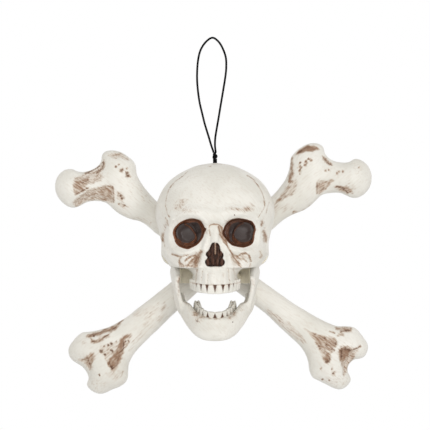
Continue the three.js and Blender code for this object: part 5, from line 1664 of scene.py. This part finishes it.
# Materials
class Nodes:
    """Short names for building a material."""

    def __init__(self, name):
        self.material = bpy.data.materials.new(name)
        self.material.use_nodes = True
        self.tree = self.material.node_tree
        self.tree.nodes.clear()
        self.output = self.tree.nodes.new("ShaderNodeOutputMaterial")
        self.shader = self.tree.nodes.new("ShaderNodeBsdfPrincipled")
        self.link(self.shader.outputs[0], self.output.inputs["Surface"])

    def link(self, a, b):
        self.tree.links.new(a, b)

    def put(self, socket, value):
        if isinstance(value, bpy.types.NodeSocket):
            self.link(value, socket)
        else:
            socket.default_value = value

    def attribute(self, name):
        node = self.tree.nodes.new("ShaderNodeAttribute")
        node.attribute_name = name
        return node.outputs["Fac"]

    def place(self, lean=0.0, stretch=1.0):
        """Places on the piece, stretched upwards and then leant about the front-to-back axis."""
        source = self.tree.nodes.new("ShaderNodeTexCoord")
        node = self.tree.nodes.new("ShaderNodeMapping")
        node.vector_type = "TEXTURE"
        self.link(source.outputs["Object"], node.inputs["Vector"])
        node.inputs["Rotation"].default_value = (0, lean, 0)
        node.inputs["Scale"].default_value = (1, 1, stretch)
        return node.outputs[0]

    def noise(self, vector, scale, detail=3.0, roughness=0.5):
        node = self.tree.nodes.new("ShaderNodeTexNoise")
        self.link(vector, node.inputs["Vector"])
        node.inputs["Scale"].default_value = scale
        node.inputs["Detail"].default_value = detail
        node.inputs["Roughness"].default_value = roughness
        return node.outputs["Fac"]

    def math(self, kind, a, b=0.0, c=0.0):
        node = self.tree.nodes.new("ShaderNodeMath")
        node.operation = kind
        for socket, value in zip(node.inputs, (a, b, c)):
            self.put(socket, value)
        return node.outputs[0]

    def add(self, a, b):
        return self.math("ADD", a, b)

    def subtract(self, a, b):
        return self.math("SUBTRACT", a, b)

    def multiply(self, a, b):
        return self.math("MULTIPLY", a, b)

    def range(self, value, low, high, to_low=0.0, to_high=1.0):
        node = self.tree.nodes.new("ShaderNodeMapRange")
        node.interpolation_type = "SMOOTHSTEP"
        self.put(node.inputs["Value"], value)
        node.inputs["From Min"].default_value = low
        node.inputs["From Max"].default_value = high
        node.inputs["To Min"].default_value = to_low
        node.inputs["To Max"].default_value = to_high
        return node.outputs[0]

    def mix(self, factor, a, b):
        node = self.tree.nodes.new("ShaderNodeMix")
        node.data_type = "RGBA"
        self.put(node.inputs[0], factor)
        self.put(node.inputs[6], a)
        self.put(node.inputs[7], b)
        return node.outputs[2]

    def bump(self, height, strength, distance, normal=None):
        node = self.tree.nodes.new("ShaderNodeBump")
        self.link(height, node.inputs["Height"])
        node.inputs["Strength"].default_value = strength
        node.inputs["Distance"].default_value = distance
        if normal is not None:
            self.link(normal, node.inputs["Normal"])
        return node.outputs[0]


IVORY = (0.81, 0.785, 0.72, 1)
IVORY_SHADE = (0.735, 0.71, 0.64, 1)
# Lighter, warmer ivory on the inner faces of the shells: painted light inside the hollow skull.
IVORY_PAINTED_LIGHT = (0.9, 0.84, 0.68, 1)
WASH_TAN = (0.5, 0.38, 0.28, 1)
WASH_BROWN = (0.245, 0.13, 0.07, 1)
DEEP_BROWN = (0.1, 0.044, 0.024, 1)
FAINT = 0.2
HATCH_STRETCH = 8
SOCKET_BROWN = (0.235, 0.092, 0.045, 1)
SOCKET_SHADE = (0.1, 0.038, 0.019, 1)
NOSE_BROWN = (0.075, 0.03, 0.017, 1)
NOSE_SHADE = (0.02, 0.008, 0.005, 1)
SMOKE = (0.078, 0.06, 0.055, 1)
SMOKE_SHADE = (0.055, 0.041, 0.037, 1)
CORD_BLACK = (0.004, 0.004, 0.0045, 1)
CORD_SHEEN = (0.007, 0.007, 0.0075, 1)


def socket_browns(n, mottle, deep):
    """The brown gloss paint of the sockets and the nose, darker where deep is high; in the sockets part of
    that is painted shade.
    """
    brown = n.mix(n.range(mottle, 0.4, 0.75), SOCKET_BROWN, SOCKET_SHADE)
    dark = n.mix(n.range(mottle, 0.45, 0.7), NOSE_BROWN, NOSE_SHADE)
    return n.mix(n.range(deep, 0.2, 0.8), brown, dark)


def bone_plastic(name, angle):
    """Ivory plastic with a hatched brown wash. The hatching leans by the angle, seen from the front."""
    n = Nodes(name)
    plain = n.place()
    cloud = n.noise(plain, 28, 2)
    mottle = n.noise(plain, 190, 4, 0.65)
    hatch = n.noise(n.place(angle, HATCH_STRETCH), 620, 3, 0.6)
    fine = n.noise(plain, 2200, 2)
    wash = n.attribute("wash")
    deep = n.attribute("deep")
    gloss = n.attribute("gloss")
    colour = n.mix(n.range(cloud, 0.35, 0.7), IVORY, IVORY_SHADE)
    uneven = n.add(n.multiply(hatch, 0.7), n.multiply(mottle, 0.3))
    # Painted light: the inner faces take the lighter, warmer ivory.
    colour = n.mix(n.range(n.attribute("inner"), 0.2, 0.8), colour, IVORY_PAINTED_LIGHT)
    colour = n.mix(n.range(uneven, 0.47, 0.66, 0, FAINT), colour, WASH_TAN)
    rub = n.multiply(n.subtract(uneven, 0.5), 2.6)
    tan = n.range(n.add(wash, n.multiply(rub, 0.5)), 0.04, 0.72, 0, 0.85)
    colour = n.mix(n.multiply(tan, n.range(wash, 0.0, 0.1)), colour, WASH_TAN)
    cover = n.multiply(n.range(n.add(wash, rub), 0.32, 1.0), n.range(wash, 0.05, 0.25))
    colour = n.mix(n.multiply(cover, 0.9), colour, WASH_BROWN)
    dark = n.range(n.add(deep, n.multiply(rub, 0.6)), 0.3, 0.82)
    colour = n.mix(n.multiply(dark, n.range(deep, 0.02, 0.15)), colour, DEEP_BROWN)
    edge = n.range(n.add(gloss, n.multiply(n.subtract(mottle, 0.5), 0.8)), 0.3, 0.55)
    glossy = n.multiply(edge, n.range(gloss, 0.02, 0.12))
    colour = n.mix(glossy, colour, socket_browns(n, mottle, deep))
    n.put(n.shader.inputs["Base Color"], colour)
    rough = n.add(0.42, n.multiply(fine, 0.12))
    rough = n.add(rough, n.multiply(cover, 0.18))
    rough = n.subtract(rough, n.multiply(glossy, 0.16))
    n.put(n.shader.inputs["Roughness"], rough)
    n.put(n.shader.inputs["Specular IOR Level"], n.range(glossy, 0, 1, 0.4, 0.16))
    height = n.add(n.multiply(hatch, 0.7), n.multiply(fine, 0.2))
    n.put(n.shader.inputs["Normal"], n.bump(height, 0.3, 0.0003, n.bump(mottle, 0.2, 0.0004)))
    return n.material


def socket_plastic():
    n = Nodes("socket_plastic")
    plain = n.place()
    smoke = n.noise(plain, 55, 3)
    fine = n.noise(plain, 900, 3)
    ridge = n.attribute("ridge")
    colour = n.mix(n.range(smoke, 0.35, 0.7), SMOKE, SMOKE_SHADE)
    mottle = n.noise(plain, 190, 4)
    brown = socket_browns(n, mottle, n.attribute("deep"))
    colour = n.mix(n.multiply(ridge, n.range(fine, 0.3, 0.6, 0.8, 1.0)), colour, brown)
    n.put(n.shader.inputs["Base Color"], colour)
    n.put(n.shader.inputs["Roughness"], n.range(fine, 0.3, 0.8, 0.26, 0.38))
    n.put(n.shader.inputs["Normal"], n.bump(fine, 0.12, 0.0002))
    n.shader.inputs["Specular IOR Level"].default_value = 0.22
    return n.material


def cord_material():
    n = Nodes("waxed_cord")
    plain = n.place()
    fibre = n.noise(n.place(0, 4), 2600, 3)
    fine = n.noise(plain, 5000, 2)
    n.put(n.shader.inputs["Base Color"], n.mix(n.range(fibre, 0.35, 0.7), CORD_BLACK, CORD_SHEEN))
    n.put(n.shader.inputs["Roughness"], n.range(fine, 0.3, 0.7, 0.75, 0.9))
    n.shader.inputs["Specular IOR Level"].default_value = 0.06
    n.put(n.shader.inputs["Normal"], n.bump(fibre, 0.4, 0.0001))
    return n.material


def screw_steel():
    n = Nodes("zinc_steel")
    turned = n.place()
    fine = n.noise(turned, 2500, 3)
    cloud = n.noise(turned, 300, 2)
    colour = n.mix(n.range(cloud, 0.3, 0.7), (0.56, 0.57, 0.58, 1), (0.46, 0.46, 0.45, 1))
    n.put(n.shader.inputs["Base Color"], colour)
    n.shader.inputs["Metallic"].default_value = 0.9
    n.put(n.shader.inputs["Roughness"], n.range(fine, 0.3, 0.7, 0.28, 0.45))
    n.put(n.shader.inputs["Normal"], n.bump(fine, 0.15, 0.0001))
    return n.material


skull_material = bone_plastic("skull_plastic", math.radians(-45))
for piece in (face, upper_teeth, rear, jaw, lower_teeth):
    piece.data.materials.append(skull_material)
for bone in (0, 1):
    lean = BONE_LEANS[bone] * (math.pi / 2 - BONE_ANGLES[bone])
    material = bone_plastic(f"bone_{bone + 1}_plastic", lean)
    for piece in bone_objects[2 * bone : 2 * bone + 2]:
        piece.data.materials.append(material)
socket_material = socket_plastic()
for cup in cups:
    cup.data.materials.append(socket_material)
cord_look = cord_material()
steel = screw_steel()
for name, node in frame["nodes"].items():
    if "screw" in name:
        node.data.materials.clear()
        node.data.materials.append(steel)
for piece in cords:
    piece.data.materials.append(cord_look)


# Floor, world and lights
def seen_directly(tree):
    """1 for rays from the camera, also after a glossy bounce or through a clear piece, else 0."""
    path = tree.nodes.new("ShaderNodeLightPath")
    seen = path.outputs["Is Camera Ray"]
    for kind in ("Is Glossy Ray", "Is Transmission Ray"):
        either = tree.nodes.new("ShaderNodeMath")
        either.operation = "MAXIMUM"
        tree.links.new(seen, either.inputs[0])
        tree.links.new(path.outputs[kind], either.inputs[1])
        seen = either.outputs[0]
    return seen


def pale_floor():
    bm = bmesh.new()
    bmesh.ops.create_circle(bm, cap_ends=True, segments=96, radius=4.0)
    data = bpy.data.meshes.new("floor")
    bm.to_mesh(data)
    bm.free()
    floor = bpy.data.objects.new("floor", data)
    floor.location = (SKULL[0], 0, cad_box[0].z - 0.35)
    bpy.context.scene.collection.objects.link(floor)
    n = Nodes("floor_paint")
    n.tree.nodes.remove(n.shader)
    diffuse = n.tree.nodes.new("ShaderNodeBsdfDiffuse")
    diffuse.inputs["Color"].default_value = (0.8, 0.8, 0.8, 1)
    white = n.tree.nodes.new("ShaderNodeEmission")
    mixer = n.tree.nodes.new("ShaderNodeMixShader")
    n.link(seen_directly(n.tree), mixer.inputs[0])
    n.link(diffuse.outputs[0], mixer.inputs[1])
    n.link(white.outputs[0], mixer.inputs[2])
    n.link(mixer.outputs[0], n.output.inputs["Surface"])
    data.materials.append(n.material)


def pale_world(strength):
    world = bpy.data.worlds.new("studio")
    bpy.context.scene.world = world
    world.use_nodes = True
    tree = world.node_tree
    background = tree.nodes["Background"]
    background.inputs["Color"].default_value = (1, 1, 1, 1)
    choose = tree.nodes.new("ShaderNodeMapRange")
    tree.links.new(seen_directly(tree), choose.inputs["Value"])
    choose.inputs["To Min"].default_value = strength
    choose.inputs["To Max"].default_value = 1.0
    tree.links.new(choose.outputs[0], background.inputs["Strength"])


def area_light(name, place, target, size, power):
    data = bpy.data.lights.new(name, "AREA")
    data.shape = "DISK"
    data.size = size
    data.energy = power
    light = bpy.data.objects.new(name, data)
    bpy.context.scene.collection.objects.link(light)
    light.location = place
    light.rotation_euler = (Vector(target) - Vector(place)).to_track_quat("-Z", "Y").to_euler()


pale_floor()
pale_world(0.75)
middle = (SKULL[0], 0, SKULL[2] - FACE_HEIGHT / 2)
area_light("key", (1.3, -2.3, -0.3), middle, 0.9, 15)
area_light("fill", (-1.5, -2.0, -0.1), middle, 1.2, 6.5)
area_light("front", (0.1, -2.9, 0.2), middle, 0.8, 8)

view = bpy.context.scene.view_settings
view.view_transform = "Standard"
